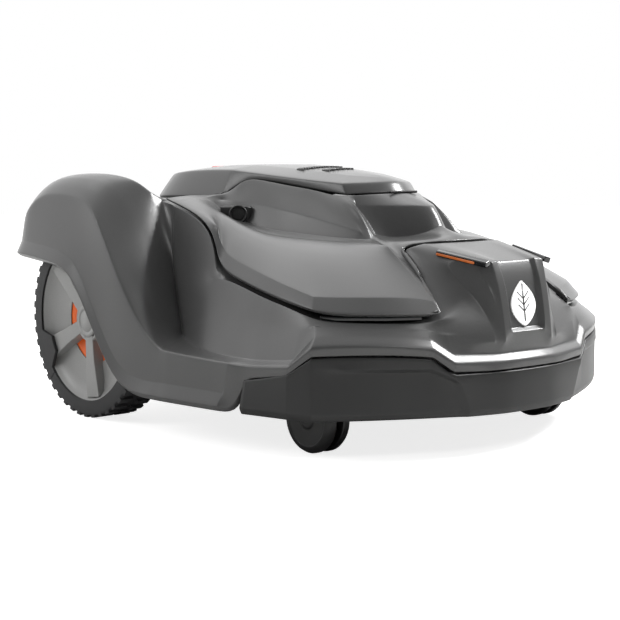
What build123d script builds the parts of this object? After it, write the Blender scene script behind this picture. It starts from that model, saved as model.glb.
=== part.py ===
from build123d import *
import math
import os

# A robotic lawn mower, in millimetres. +Z is up, the nose points to -Y and the origin is on the ground
# under the middle. The body shell floats on a chassis that carries the wheels and the cutting deck.

# ---- driving dimensions: overall ----
BODY_WIDTH = 554.0
BODY_LENGTH = 690.0
BODY_HEIGHT = 317.0
SHELL_WALL = 2.5
SEAM = 2.0

# ---- drive wheels and casters ----
TYRE_R = 122.0
TYRE_WIDTH = 50.0
TYRE_INSET = 21.0
TYRE_SHOULDER = 5.0
TYRE_DEPTH = 20.0
SHAFT_R = 6.0
MOTOR_CAN_R = 27.0
CASTER_WIDTH = 34.0
CASTER_TRAIL = 15.0
CASTER_SLOT = 9.0
CASTER_INSET = 94.0
STEM_R = 6.0
AXLE_R = 4.0
RUNNING = 0.05
FREE = 0.4

# ---- chassis ----
TUB_WALL = 3.0
SEAL_THICK = 2.0
TUB_FRONT_HALF = 96.0
TUB_FRONT_GAP = 52.0
TUB_REAR_GAP = 43.0

# ---- cutting deck ----
DISC_R = 100.0
DISC_THICK = 2.5
BLADE_LENGTH = 38.0
BLADE_WIDTH = 17.0
BLADE_THICK = 0.8
DECK_TRAVEL = 40.0
CUT_MOTOR_R = 32.0
POST_R = 4.0
POST_X = 60.0
LEAD_R = 5.0
LEAD_Y = 54.0

# ---- hatch and console ----
HATCH_WALL = 3.0
HINGE_R = 1.5
STOP_R = 30.0
CONSOLE_HALF = 60.0
KEY_R = 9.0

# ---- values that follow ----
WIDE = BODY_WIDTH / 554.0
LONG = BODY_LENGTH / 690.0
HIGH = BODY_HEIGHT / 317.0
RIDE = TYRE_R / 122.0
NOSE_Y = -345.0 * LONG
TAIL_Y = 345.0 * LONG
AXLE_Y = 176.0 * LONG
AXLE_Z = TYRE_R
RIM_R = TYRE_R - TYRE_DEPTH
CASTER_R = 39.0 * RIDE
WHEEL_X = BODY_WIDTH / 2 - TYRE_INSET
TUB_HALF = 160.0 * WIDE
TUB_FRONT = NOSE_Y + TUB_FRONT_GAP
TUB_REAR = TAIL_Y - TUB_REAR_GAP
SWIVEL_X = BODY_WIDTH / 2 - CASTER_INSET
SWIVEL_Y = -205.0 * LONG
CASTER_Y = SWIVEL_Y + CASTER_TRAIL
TUB_BOTTOM = 75.0 * RIDE
SPLIT_Z = 140.0 * RIDE
FRONT_TOP = AXLE_Z + MOTOR_CAN_R + 5.0
REAR_TOP = SPLIT_Z + 68.0
DISC_Y = -14.0 * LONG
DISC_Z = 26.0 * RIDE
BLADE_PIVOT_R = DISC_R - 12.0
SKID_R = DISC_R - 20.0
SKID_LOW = DISC_Z - 12.0
HINGE_Y = -137.0 * LONG
HINGE_Z = 284.0 * HIGH
STOP_Y = 196.0 * LONG
STOP_LOW = 298.0 * HIGH
STOP_TOP = STOP_LOW + 16.0
CONSOLE_TOP = 252.0 * HIGH
CONSOLE_FRONT = -66.0 * LONG
CONSOLE_REAR = 170.0 * LONG
NODES = {}


def box(x0, x1, y0, y1, z0, z1):
    """A box between opposite corners."""
    return Pos((x0 + x1) / 2, (y0 + y1) / 2, (z0 + z1) / 2) * Box(abs(x1 - x0), abs(y1 - y0), abs(z1 - z0))


def post(x, y, z0, z1, r):
    """An upright cylinder."""
    return Pos(x, y, (z0 + z1) / 2) * Cylinder(r, z1 - z0)


def across(x0, x1, y, z, r):
    """A cylinder lying along X."""
    return Pos((x0 + x1) / 2, y, z) * Rot(0, 90, 0) * Cylinder(r, abs(x1 - x0))


def slab(points, z0, z1):
    """An upright prism on a plan outline."""
    return Pos(0, 0, z0) * extrude(make_face(Polyline(*points, close=True)), z1 - z0, dir=(0, 0, 1))


def plate(points, x0, x1):
    """A prism along X on an outline of (y, z) points."""
    face = make_face(Polyline(*[(x0, y, z) for y, z in points], close=True))
    return extrude(face, x1 - x0, dir=(1, 0, 0))


def turned(points, y, z):
    """A body of revolution about an axis along X, from (x, radius) points."""
    face = make_face(Polyline(*[(x, y, z + r) for x, r in points], close=True))
    return revolve(face, Axis((0, y, z), (1, 0, 0)))


def mirrored(solid):
    return mirror(solid, about=Plane.YZ)


def both(points):
    """A plan outline given for x > 0, closed over to x < 0."""
    return points + [(-x, y) for x, y in reversed(points)]


def sided(name, solid):
    """One node on each side of the machine; the solid is given for x > 0, the left."""
    NODES[name + "_left"] = solid
    NODES[name + "_right"] = mirrored(solid)


# ---- panels: a grid of points on the outer face, made into an even wall of flat facets ----

def scaled(point):
    x, y, z = point
    return Vector(x * WIDE, y * LONG, z * HIGH)


def triangles(rows, cols, closed):
    """The index triples of a grid's facets."""
    out = []
    for i in range(cols if closed else cols - 1):
        j = (i + 1) % cols
        for k in range(rows - 1):
            a, b, c, d = (i, k), (j, k), (j, k + 1), (i, k + 1)
            out += [(a, b, c), (a, c, d)]
    return out


def place_key(p):
    return round(p.X, 3), round(p.Y, 3), round(p.Z, 3)


def offset_grid(grid, depth, closed):
    """The grid moved inwards by depth along its vertex normals; points that coincide stay together."""
    normals = {place_key(p): Vector(0, 0, 0) for col in grid for p in col}
    for tri in triangles(len(grid[0]), len(grid), closed):
        corners = [grid[i][k] for i, k in tri]
        a, b, c = corners
        n = (b - a).cross(c - a)
        if n.length < 1e-6:
            continue
        for p in corners:
            normals[place_key(p)] = normals[place_key(p)] + n.normalized()
    return [[p - normals[place_key(p)].normalized() * depth for p in col] for col in grid]


def facet(a, b, c):
    if (b - a).cross(c - a).length < 1e-4:
        return None
    return Face(Wire.make_polygon([a, b, c], close=True))


def walled(outer, inner, closed, ridged=False):
    """The solid between two grids of the same layout; in a ridged one the two last edges meet on x = 0."""
    cols, rows = len(outer), len(outer[0])
    faces = []
    for tri in triangles(rows, cols, closed):
        a, b, c = tri
        faces.append(facet(*[outer[i][k] for i, k in (a, b, c)]))
        faces.append(facet(*[inner[i][k] for i, k in (a, c, b)]))
    edges = [[(i, 0) for i in range(cols)]]
    if not ridged:
        edges.append([(i, rows - 1) for i in range(cols)][::-1])
    if closed:
        edges = [e + [e[0]] for e in edges]
    else:
        edges += [[(0, k) for k in range(rows)][::-1], [(cols - 1, k) for k in range(rows)]]
    for edge in edges:
        for p, q in zip(edge, edge[1:]):
            a, b = outer[p[0]][p[1]], outer[q[0]][q[1]]
            c, d = inner[q[0]][q[1]], inner[p[0]][p[1]]
            faces += [facet(b, a, d), facet(b, d, c)]
    return Solid(Shell([f for f in faces if f]))


def whole(half):
    """The grid of a half panel carried over to x < 0; its first and last columns lie on x = 0."""
    left = [[Vector(-p.X, p.Y, p.Z) for p in col] for col in half]
    return half + left[1:-1][::-1]


def span(half):
    """As whole, for a strip that only its first column closes."""
    left = [[Vector(-p.X, p.Y, p.Z) for p in col] for col in half]
    return left[1:][::-1] + half


def sewn(half, wall, closed=True):
    """A panel of one wall thickness."""
    grid = whole(half) if closed else span(half)
    return walled(grid, offset_grid(grid, wall, closed), closed)


# ---- body shell: columns round the plan from the nose to the tail, each from the hem up to the hatch ----
# Each column: hem, belt edge, ledge corner, side, gap line, crest, flange or deck, hatch opening.

HULL = [
    [(0, -345, 45), (0, -343, 104), (0, -335, 112), (0, -338, 136), (0, -327, 190), (0, -312, 214),
     (0, -240, 229), (0, -226, 222)],
    [(26, -344, 45), (26, -342, 104), (26, -334, 112), (26, -338, 136), (27, -327, 190), (28, -312, 214),
     (30, -240, 229), (28, -226, 222)],
    [(40, -343, 45), (40, -340, 104), (40, -332, 112), (37, -340, 122), (38, -330, 172), (42, -314, 214),
     (48, -238, 229), (44, -224, 222)],
    [(62, -338, 45), (62, -336, 104), (60, -328, 113), (44, -332, 125), (50, -316, 172), (60, -285, 200),
     (70, -215, 222), (62, -204, 215)],
    [(105, -322, 45), (105, -328, 105), (101, -320, 114), (104, -313, 134), (106, -307, 152), (89, -261, 187),
     (73, -209, 219), (63, -196, 211)],
    [(128, -312, 45), (126, -315, 122), (123, -307, 131), (123, -302, 140), (124, -297, 148), (116, -280, 146),
     (106, -255, 158), (92, -215, 185)],
    [(165, -293, 45), (165, -299, 127), (161, -290, 136), (160, -283, 143), (160, -276, 149), (150, -262, 147),
     (138, -240, 152), (124, -208, 172)],
    [(208, -267, 45), (212, -261, 128), (206, -252, 137), (203, -245, 144), (201, -238, 150), (190, -226, 148),
     (176, -206, 152), (158, -180, 172)],
    [(236, -240, 45), (236, -241, 126), (226, -235, 136), (217, -225, 145), (211, -215, 153), (198, -206, 151),
     (184, -192, 157), (166, -168, 178)],
    [(247, -212, 45), (248, -216, 104), (236, -214, 110), (222, -205, 138), (214, -195, 159), (206, -190, 156),
     (192, -180, 161), (170, -156, 182)],
    [(257, -165, 45), (254, -165, 100), (241, -163, 105), (225, -163, 138), (215, -162, 166), (207, -160, 162),
     (194, -154, 168), (174, -140, 186)],
    [(265, -100, 45), (262, -105, 101), (246, -105, 105), (226, -110, 142), (212, -114, 175), (204, -112, 171),
     (192, -106, 178), (172, -98, 196)],
    [(270, -55, 45), (268, -60, 103), (243, -65, 107), (222, -62, 145), (203, -55, 186), (195, -54, 182),
     (184, -50, 190), (168, -46, 206)],
    [(273, -35, 45), (269, -38, 104), (239, -44, 108), (219, -32, 150), (201, -22, 185), (197, -25, 196),
     (184, -22, 196), (166, -20, 214)],
    [(275, -22, 45), (270, -26, 105), (232, -18, 110), (212, 0, 152), (195, 8, 200), (192, -11, 236),
     (180, -10, 227), (160, -6, 230)],
    [(276, -10, 45), (270, -20, 105), (224, 4, 112), (206, 28, 155), (191, 45, 208), (187, 28, 257),
     (176, 27, 246), (158, 26, 244)],
    [(277, 10, 45), (270, -10, 107), (215, 19, 115), (199, 53, 157), (189, 76, 205), (180, 88, 268),
     (160, 88, 263), (126, 90, 264)],
    [(277, 40, 44), (272, 27, 130), (240, 41, 150), (212, 64, 187), (197, 86, 230), (178, 110, 272),
     (145, 97, 272), (97, 76, 272)],
    [(277, 82, 58), (274, 71, 185), (252, 78, 208), (228, 90, 234), (209, 103, 260), (193, 115, 285),
     (178, 120, 272), (96, 99, 273)],
    [(276, 130, 122), (268, 115, 239), (250, 120, 256), (231, 122, 275), (214, 126, 290), (203, 128, 299),
     (180, 137, 273), (95, 119, 273)],
    [(275, 160, 164), (262, 145, 267), (248, 148, 283), (233, 150, 295), (222, 151, 302), (210, 152, 305),
     (183, 157, 274), (95, 141, 273)],
    [(274, 190, 190), (258, 175, 278), (248, 177, 291), (238, 179, 300), (228, 180, 305), (216, 182, 308),
     (187, 185, 274), (95, 166, 273)],
    [(273, 245, 197), (257, 235, 282), (248, 234, 294), (238, 234, 302), (229, 234, 306), (220, 234, 307),
     (193, 235, 274), (95, 205, 273)],
    [(271, 300, 201), (257, 285, 277), (248, 285, 289), (240, 285, 295), (232, 285, 298), (223, 285, 298),
     (197, 283, 270), (93, 232, 273)],
    [(268, 328, 202), (262, 322, 238), (255, 325, 245), (248, 327, 250), (240, 328, 254), (230, 329, 256),
     (204, 318, 259), (86, 252, 272)],
    [(222, 334, 196), (220, 333, 226), (216, 333, 238), (210, 332, 246), (205, 331, 250), (198, 329, 253),
     (186, 320, 257), (70, 266, 271)],
    [(160, 340, 168), (160, 339, 216), (157, 338, 234), (153, 336, 243), (149, 334, 248), (144, 332, 251),
     (136, 322, 256), (44, 272, 270)],
    [(80, 344, 152), (80, 343, 212), (79, 342, 233), (77, 340, 242), (75, 338, 247), (72, 335, 250),
     (68, 324, 256), (20, 275, 270)],
    [(0, 345, 150), (0, 344, 212), (0, 343, 233), (0, 341, 242), (0, 339, 247), (0, 336, 250),
     (0, 325, 256), (0, 276, 270)],
]
BUMPER_WALL = 3.0
BUMPER_FIT = 1.4
BUMPER_COLUMNS = 11
BUMPER_GAP_DROP = [9, 9, 9, 9, 10, 10, 10.5, 11, 10, 10, 13]
HEM_RISE = 16.0


def between(a, b, t):
    return a + (b - a) * t


def hull_columns():
    """The shell's outer face. Behind the bumper it is set in by the bumper's wall and starts higher up."""
    cols = [[scaled(p) for p in col] for col in HULL]
    full = whole([[col[0], col[1]] for col in cols])
    inset = offset_grid(full, BUMPER_WALL + BUMPER_FIT, True)
    out = []
    for i, col in enumerate(cols):
        hem, belt = col[0], col[1]
        if i < BUMPER_COLUMNS:
            drop = BUMPER_GAP_DROP[i]
            low = between(inset[i][0], inset[i][1], HEM_RISE / (belt.Z - hem.Z))
            high = between(inset[i][0], inset[i][1], 1 - drop / (belt.Z - hem.Z))
            edge = between(hem, belt, 1 - (drop - 0.6) / (belt.Z - hem.Z))
        else:
            low = hem
            high = between(hem, belt, 0.45)
            edge = between(hem, belt, 0.55)
        out.append([low, high, edge] + col[1:])
    return out


def body_shell():
    return sewn(hull_columns(), SHELL_WALL)


def front_bumper():
    """A black moulding over the front of the skirt; its inner face is the shell's set-in face."""
    cols = [[scaled(col[0]), scaled(col[1])] for col in HULL]
    full = whole(cols)
    inset = offset_grid(full, BUMPER_WALL, True)
    outer, inner = [], []
    for i in range(BUMPER_COLUMNS):
        hem, belt = cols[i]
        top = 1 - (BUMPER_GAP_DROP[i] + SEAM) / (belt.Z - hem.Z)
        outer.append([hem, between(hem, belt, top)])
        inner.append([inset[i][0], between(inset[i][0], inset[i][1], top)])
    return walled(span(outer), span(inner), False)


# ---- top cover: a horseshoe from the nose's rear edge and the headlight slots back to two points ----
# Each column: lower edge, bevel, crown, sensor trough, the edge beside the hatch, the gutter under it.

COVER = [
    [(0, -238, 231), (0, -226, 236), (0, -190, 257), (0, -160, 273), (0, -140, 283), (0, -130, 274)],
    [(40, -235, 231), (38, -222, 237), (33, -186, 255), (28, -150, 272), (24, -132, 283), (20, -122, 274)],
    [(75, -207, 225), (70, -196, 231), (58, -165, 250), (48, -138, 268), (42, -122, 282), (36, -112, 273)],
    [(91, -262, 194), (87, -248, 200), (74, -188, 240), (62, -142, 262), (53, -111, 281), (46, -103, 272)],
    [(106, -307, 158), (104, -296, 170), (90, -200, 228), (74, -146, 250), (62, -100, 280), (54, -95, 271)],
    [(124, -299, 158), (120, -284, 172), (102, -180, 230), (84, -136, 244), (66, -85, 282), (57, -82, 273)],
    [(160, -278, 159), (154, -264, 173), (122, -150, 233), (94, -116, 242), (69, -65, 285), (60, -62, 275)],
    [(201, -241, 159), (192, -228, 174), (142, -122, 237), (102, -88, 242), (72, -48, 288), (63, -46, 278)],
    [(212, -215, 163), (201, -206, 178), (148, -100, 241), (106, -58, 243), (75, -32, 290), (66, -30, 280)],
    [(215, -162, 173), (204, -158, 189), (152, -70, 247), (110, -24, 246), (79, -8, 293), (70, -7, 283)],
    [(211, -114, 182), (200, -110, 199), (152, -36, 253), (112, 8, 249), (83, 18, 297), (74, 18, 287)],
    [(202, -55, 193), (192, -52, 210), (150, 0, 259), (112, 30, 251), (87, 42, 300), (78, 42, 289)],
    [(196, -27, 204), (186, -24, 220), (149, 22, 262), (113, 48, 252), (90, 54, 298), (80, 52, 286)],
    [(190, -12, 238), (181, -8, 246), (149, 42, 265), (114, 62, 255), (94, 62, 294), (84, 58, 282)],
    [(182, 29, 259), (176, 34, 265), (150, 66, 272), (118, 74, 264), (102, 70, 284), (91, 64, 275)],
    [(176, 106, 276), (170, 98, 277), (152, 93, 279), (130, 86, 279), (110, 78, 280), (98, 70, 275)],
]


def top_cover():
    half = [[scaled(p) for p in col] for col in COVER]
    return sewn(half, SHELL_WALL, closed=False)


# ---- hatch: a lid with a ridge down its middle, from the hinge at the nose end to the STOP button ----
# Each column: lower edge, crest, shoulder, ridge.

LID = [
    [(0, -135, 284), (0, -127, 297), (0, -110, 301), (0, -94, 304)],
    [(27, -125, 284), (26, -115, 296), (15, -98, 302), (0, -82, 306)],
    [(59, -99, 282), (57, -91, 295), (32, -74, 304), (0, -60, 309)],
    [(72, -32, 291), (73, -28, 300), (40, -24, 309), (0, -28, 313)],
    [(84, 42, 301), (84, 44, 307), (45, 46, 314), (0, 57, 317)],
    [(91, 64, 295), (88, 64, 309), (46, 66, 315), (0, 74, 317)],
    [(107, 82, 277), (90, 84, 311), (48, 86, 316), (0, 92, 317)],
    [(107, 159, 277), (90, 153, 311), (48, 152, 316), (0, 151, 317)],
    [(105, 240, 278), (88, 226, 305), (47, 216, 309), (0, 208, 311)],
    [(60, 264, 276), (54, 246, 300), (29, 232, 305), (0, 222, 309)],
    [(0, 271, 276), (0, 253, 300), (0, 242, 304), (0, 232, 308)],
]


def hatch_lid():
    """The lid, with a dished hole for the STOP button, hinge knuckles and a latch hook."""
    half = [[scaled(p) for p in col] for col in LID]
    outer = whole(half)
    return walled(outer, offset_grid(outer, HATCH_WALL, True), True, ridged=True)


NODES["body_shell"] = body_shell()
NODES["front_bumper"] = front_bumper()
NODES["top_cover"] = top_cover()
NODES["hatch_lid"] = hatch_lid()


# ---- chassis tub and lid, sealed together at the split ----

TUB_PLAN = [
    (TUB_FRONT_HALF - 16, TUB_FRONT),
    (TUB_FRONT_HALF, TUB_FRONT + 16),
    (TUB_FRONT_HALF, CASTER_Y + 48),
    (TUB_HALF, CASTER_Y + 80),
    (TUB_HALF, TUB_REAR - 17),
    (TUB_HALF - 17, TUB_REAR),
]
UPPER_PLAN = [
    (TUB_HALF - 10, CASTER_Y + 92),
    (TUB_HALF - 10, TUB_REAR - 21),
    (TUB_HALF - 27, TUB_REAR - 4),
]


def inset_plan(points, depth):
    """A half plan outline moved in by depth, for the inside of a wall."""
    ring = Polyline(*both(points), close=True)
    return make_face(offset(ring, amount=-depth, kind=Kind.INTERSECTION))


def hollow(points, depth, z0, z1):
    return Pos(0, 0, z0) * extrude(inset_plan(points, depth), z1 - z0, dir=(0, 0, 1))


BOSS_LOW = 96.0 * RIDE
BOSS_HIGH = BOSS_LOW + 30.0
BOSS_R = 14.0
BUSH_R = 9.0
MOTOR_BOSS_R = 14.0
HANDLE_X = 72.0
HANDLE_REACH = 32.0
HANDLE_LOW = 104.0 * RIDE
HANDLE_HIGH = HANDLE_LOW + 20.0
BOARD_FRONT = TUB_FRONT + 22
BOARD_BACK = BOARD_FRONT + 110
BOARD_HALF = 74.0
BOARD_Z = TUB_BOTTOM + 25.0


def chassis_lower():
    tub = slab(both(TUB_PLAN), TUB_BOTTOM, SPLIT_Z)
    tub -= hollow(TUB_PLAN, TUB_WALL, TUB_BOTTOM + TUB_WALL, SPLIT_Z + 1)
    tub -= post(0, DISC_Y, TUB_BOTTOM - 1, TUB_BOTTOM + TUB_WALL + 1, CUT_MOTOR_R + 3)
    tub += post(0, DISC_Y + LEAD_Y, TUB_BOTTOM + 1, TUB_BOTTOM + 10, LEAD_R + 4)
    tub -= post(0, DISC_Y + LEAD_Y, TUB_BOTTOM + 4, TUB_BOTTOM + 11, LEAD_R)
    for side in (-1, 1):
        wall = side * TUB_HALF
        tub -= across(wall - 6, wall + 6, AXLE_Y, AXLE_Z, MOTOR_BOSS_R + RUNNING)
        arm = box(side * (TUB_FRONT_HALF - 2), side * SWIVEL_X, SWIVEL_Y - 9, SWIVEL_Y + 9, BOSS_LOW, BOSS_HIGH)
        tub += arm + post(side * SWIVEL_X, SWIVEL_Y, BOSS_LOW, BOSS_HIGH, BOSS_R)
        tub -= post(side * SWIVEL_X, SWIVEL_Y, BOSS_LOW - 1, BOSS_HIGH + 1, BUSH_R)
        tub += box(side * (HANDLE_X - 12), side * HANDLE_X, TUB_REAR - 1, TUB_REAR + HANDLE_REACH,
                   HANDLE_LOW, HANDLE_HIGH)
        for y in (BOARD_FRONT + 8, BOARD_BACK - 8):
            tub += post(side * (BOARD_HALF - 8), y, TUB_BOTTOM + 2, BOARD_Z, 4)
    reach = TUB_REAR + HANDLE_REACH
    tub += box(-HANDLE_X, HANDLE_X, reach - 14, reach, HANDLE_LOW, HANDLE_HIGH)
    return tub


SEAL_TOP = SPLIT_Z + SEAL_THICK
TOWER_HALF = CONSOLE_HALF + 6
TOWER_FRONT = CONSOLE_FRONT - 10
TOWER_REAR = CONSOLE_REAR + 8
PANEL_THICK = 2.0
RIM_RISE = 8.0
KEY_X = [-36.0, -12.0, 12.0, 36.0]
KEY_Y = CONSOLE_FRONT + 30
SWITCH_Y = CONSOLE_REAR - 36
SWITCH_HALF = 8.0
SWITCH_LONG = 11.0
HEIGHT_MOTOR_TOP = REAR_TOP - 8.0
HEIGHT_MOTOR_LOW = HEIGHT_MOTOR_TOP - 26.0
HEIGHT_MOTOR_HALF = (20.0, 16.0)


def chassis_upper():
    """The chassis lid: a low nose, a high middle, and the console tower under the hatch."""
    lid = slab(both(TUB_PLAN), SEAL_TOP, FRONT_TOP)
    lid += slab(both(UPPER_PLAN), FRONT_TOP - 1, REAR_TOP)
    rim = CONSOLE_TOP + RIM_RISE
    lid += box(-TOWER_HALF, TOWER_HALF, TOWER_FRONT, TOWER_REAR, REAR_TOP - 1, rim)
    lid -= hollow(TUB_PLAN, TUB_WALL, SEAL_TOP - 1, FRONT_TOP - TUB_WALL)
    lid -= hollow(UPPER_PLAN, TUB_WALL, SEAL_TOP - 1, REAR_TOP - TUB_WALL)
    inside = TOWER_HALF - TUB_WALL
    lid -= box(-inside, inside, TOWER_FRONT + TUB_WALL, TOWER_REAR - TUB_WALL,
               REAR_TOP - TUB_WALL - 1, CONSOLE_TOP - TUB_WALL)
    lid -= box(-CONSOLE_HALF, CONSOLE_HALF, CONSOLE_FRONT, CONSOLE_REAR, CONSOLE_TOP, rim + 1)
    for x in KEY_X:
        lid -= post(x, KEY_Y, CONSOLE_TOP - 4, CONSOLE_TOP + 1, KEY_R + 1)
    lid -= box(-SWITCH_HALF - 1, SWITCH_HALF + 1, SWITCH_Y - SWITCH_LONG - 2, SWITCH_Y + SWITCH_LONG + 2,
               CONSOLE_TOP - 4, CONSOLE_TOP + 1)
    wide, long = HEIGHT_MOTOR_HALF
    lid += box(-wide, wide, DISC_Y + LEAD_Y - long, DISC_Y + LEAD_Y + long, HEIGHT_MOTOR_TOP, CONSOLE_TOP - 1)
    return lid



def chassis_seal():
    return slab(both(TUB_PLAN), SPLIT_Z, SEAL_TOP) - hollow(TUB_PLAN, TUB_WALL, SPLIT_Z - 1, SEAL_TOP + 1)


NODES["chassis_lower"] = chassis_lower()
NODES["chassis_upper"] = chassis_upper()
NODES["chassis_seal"] = chassis_seal()

# ---- what the chassis holds ----

BATTERY_FRONT = AXLE_Y + MOTOR_CAN_R + 6
BATTERY_BACK = TUB_REAR - TUB_WALL - 6
FLOOR = TUB_BOTTOM + TUB_WALL
NODES["battery_pack"] = box(-90, 90, BATTERY_FRONT, BATTERY_BACK, FLOOR, SPLIT_Z - 4)
NODES["battery_cover"] = box(-98, 98, BATTERY_FRONT - 4, BATTERY_BACK + 4, TUB_BOTTOM - 3, TUB_BOTTOM)
NODES["main_board"] = box(-BOARD_HALF, BOARD_HALF, BOARD_FRONT, BOARD_BACK, BOARD_Z, BOARD_Z + 1.6)


def drive_motor():
    """A gear motor: a round can against the tub's side, its boss through the wall, bored for the shaft."""
    inner = TUB_HALF - TUB_WALL
    motor = across(inner - 82, inner, AXLE_Y, AXLE_Z, MOTOR_CAN_R)
    motor += across(inner - 1, TUB_HALF + 8, AXLE_Y, AXLE_Z, MOTOR_BOSS_R)
    motor -= across(inner - 42, TUB_HALF + 9, AXLE_Y, AXLE_Z, SHAFT_R + RUNNING)
    return motor


def screw_heads(places, z):
    """Pan-head screws driven up from below, as heads that seat at height z."""
    return Compound(children=[post(x, y, z - CASE_SCREW_THICK, z, CASE_SCREW_R) for x, y in places])


CONTACT_X = 40.0
CASE_SCREW_R = 4.0
CASE_SCREW_THICK = 2.2
SCREW_PLACES = [
    (TUB_FRONT_HALF - 14, TUB_FRONT + 24),
    (TUB_FRONT_HALF - 14, CASTER_Y + 34),
    (TUB_HALF - 14, CASTER_Y + 96),
    (TUB_HALF - 14, AXLE_Y),
    (TUB_HALF - 30, TUB_REAR - 14),
]
sided("drive_motor", drive_motor())
NODES["caster_bushes"] = Compound(children=[
    post(side * SWIVEL_X, SWIVEL_Y, BOSS_LOW, BOSS_HIGH, BUSH_R)
    - post(side * SWIVEL_X, SWIVEL_Y, BOSS_LOW - 1, BOSS_HIGH + 1, STEM_R + RUNNING) for side in (-1, 1)])
NODES["charging_contacts"] = Compound(children=[
    box(side * CONTACT_X - 9, side * CONTACT_X + 9, TUB_FRONT + 8, TUB_FRONT + 38, TUB_BOTTOM - 2, TUB_BOTTOM)
    for side in (-1, 1)])
NODES["chassis_screws"] = screw_heads(both(SCREW_PLACES), TUB_BOTTOM)

# ---- console: panel, display window, keys and the main switch ----


def console_panel():
    panel = box(-CONSOLE_HALF + 0.5, CONSOLE_HALF - 0.5, CONSOLE_FRONT + 0.5, CONSOLE_REAR - 0.5,
                CONSOLE_TOP, CONSOLE_TOP + PANEL_THICK)
    for x in KEY_X:
        panel -= post(x, KEY_Y, CONSOLE_TOP - 1, CONSOLE_TOP + PANEL_THICK + 1, KEY_R + FREE)
    panel -= box(-SWITCH_HALF - 0.5, SWITCH_HALF + 0.5, SWITCH_Y - SWITCH_LONG - 1.5,
                 SWITCH_Y + SWITCH_LONG + 1.5, CONSOLE_TOP - 1, CONSOLE_TOP + PANEL_THICK + 1)
    return panel


PANEL_TOP = CONSOLE_TOP + PANEL_THICK
NODES["console_panel"] = console_panel()
NODES["display_window"] = box(-38, 38, KEY_Y + 24, KEY_Y + 74, PANEL_TOP, PANEL_TOP + 1.5)
for number, x in enumerate(KEY_X, 1):
    NODES[f"key_{number}"] = post(x, KEY_Y, CONSOLE_TOP - 5, PANEL_TOP + 3, KEY_R)
NODES["main_switch"] = box(-SWITCH_HALF, SWITCH_HALF, SWITCH_Y - SWITCH_LONG, SWITCH_Y + SWITCH_LONG,
                           CONSOLE_TOP - 4, PANEL_TOP + 5)

# ---- float carriage: slides fore and aft on the chassis; its pillars let the shell lift ----

RAIL_X = TOWER_HALF + 14.0
RAIL_HALF = 4.0
RAIL_THICK = 6.0
PILLAR_R = 5.0
SOCKET_R = 9.0
FRONT_PILLAR = (40.0, NOSE_Y + 77)
REAR_PILLAR = (RAIL_X + 32.0, TUB_REAR - 54)
FRONT_SEAT = FRONT_TOP + 18.0
REAR_SEAT = REAR_TOP + 18.0


def float_carriage():
    low = FRONT_TOP + FREE
    high = REAR_TOP + FREE
    step = CASTER_Y + 92 - 12
    front = FRONT_PILLAR[1] - 10
    back = REAR_PILLAR[1] + 10
    rail = [
        (front, low), (step, low), (step, high), (back, high), (back, high + RAIL_THICK),
        (step - RAIL_THICK, high + RAIL_THICK), (step - RAIL_THICK, low + RAIL_THICK),
        (front, low + RAIL_THICK),
    ]
    carriage = plate(rail, RAIL_X - RAIL_HALF, RAIL_X + RAIL_HALF)
    carriage += plate(rail, -RAIL_X - RAIL_HALF, -RAIL_X + RAIL_HALF)
    carriage += box(-RAIL_X, RAIL_X, front, front + 20, low, low + RAIL_THICK)
    carriage += box(-REAR_PILLAR[0], REAR_PILLAR[0], back - 20, back, high, high + RAIL_THICK)
    for side in (-1, 1):
        x, y = side * FRONT_PILLAR[0], FRONT_PILLAR[1]
        carriage += post(x, y, low + 1, FRONT_SEAT, SOCKET_R) + post(x, y, low + 1, FRONT_SEAT + 32, PILLAR_R)
        x, y = side * REAR_PILLAR[0], REAR_PILLAR[1]
        carriage += post(x, y, high + 1, REAR_SEAT, SOCKET_R) + post(x, y, high + 1, REAR_SEAT + 32, PILLAR_R)
    return carriage


def sockets():
    """Blind tubes under the shell's nose and deck that drop over the carriage's pillars."""
    tubes = []
    for (x, y), seat, top in ((FRONT_PILLAR, FRONT_SEAT, 219.5 * HIGH), (REAR_PILLAR, REAR_SEAT, 270.6 * HIGH)):
        for side in (-1, 1):
            tube = post(side * x, y, seat, top, SOCKET_R)
            tubes.append(tube - post(side * x, y, seat - 1, top - 3, PILLAR_R + FREE))
    return tubes


NODES["float_carriage"] = float_carriage()
for tube in sockets():
    NODES["body_shell"] += tube

# ---- drive wheels ----

RIM_BACK = WHEEL_X - TYRE_WIDTH + 6
RIM_FACE = WHEEL_X - 4
WEB_OUT = WHEEL_X - 12
WEB_IN = WEB_OUT - 8
SPOKES = 5
HUB_R = 24.0
CAP_R = 22.0
CAP_THICK = 5.0


def tyre():
    a, b, c = WHEEL_X - TYRE_WIDTH, WHEEL_X, TYRE_SHOULDER
    profile = [(a, RIM_R), (b, RIM_R), (b, TYRE_R - c), (b - c, TYRE_R), (a + c, TYRE_R), (a, TYRE_R - c)]
    return turned(profile, AXLE_Y, AXLE_Z)


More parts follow.
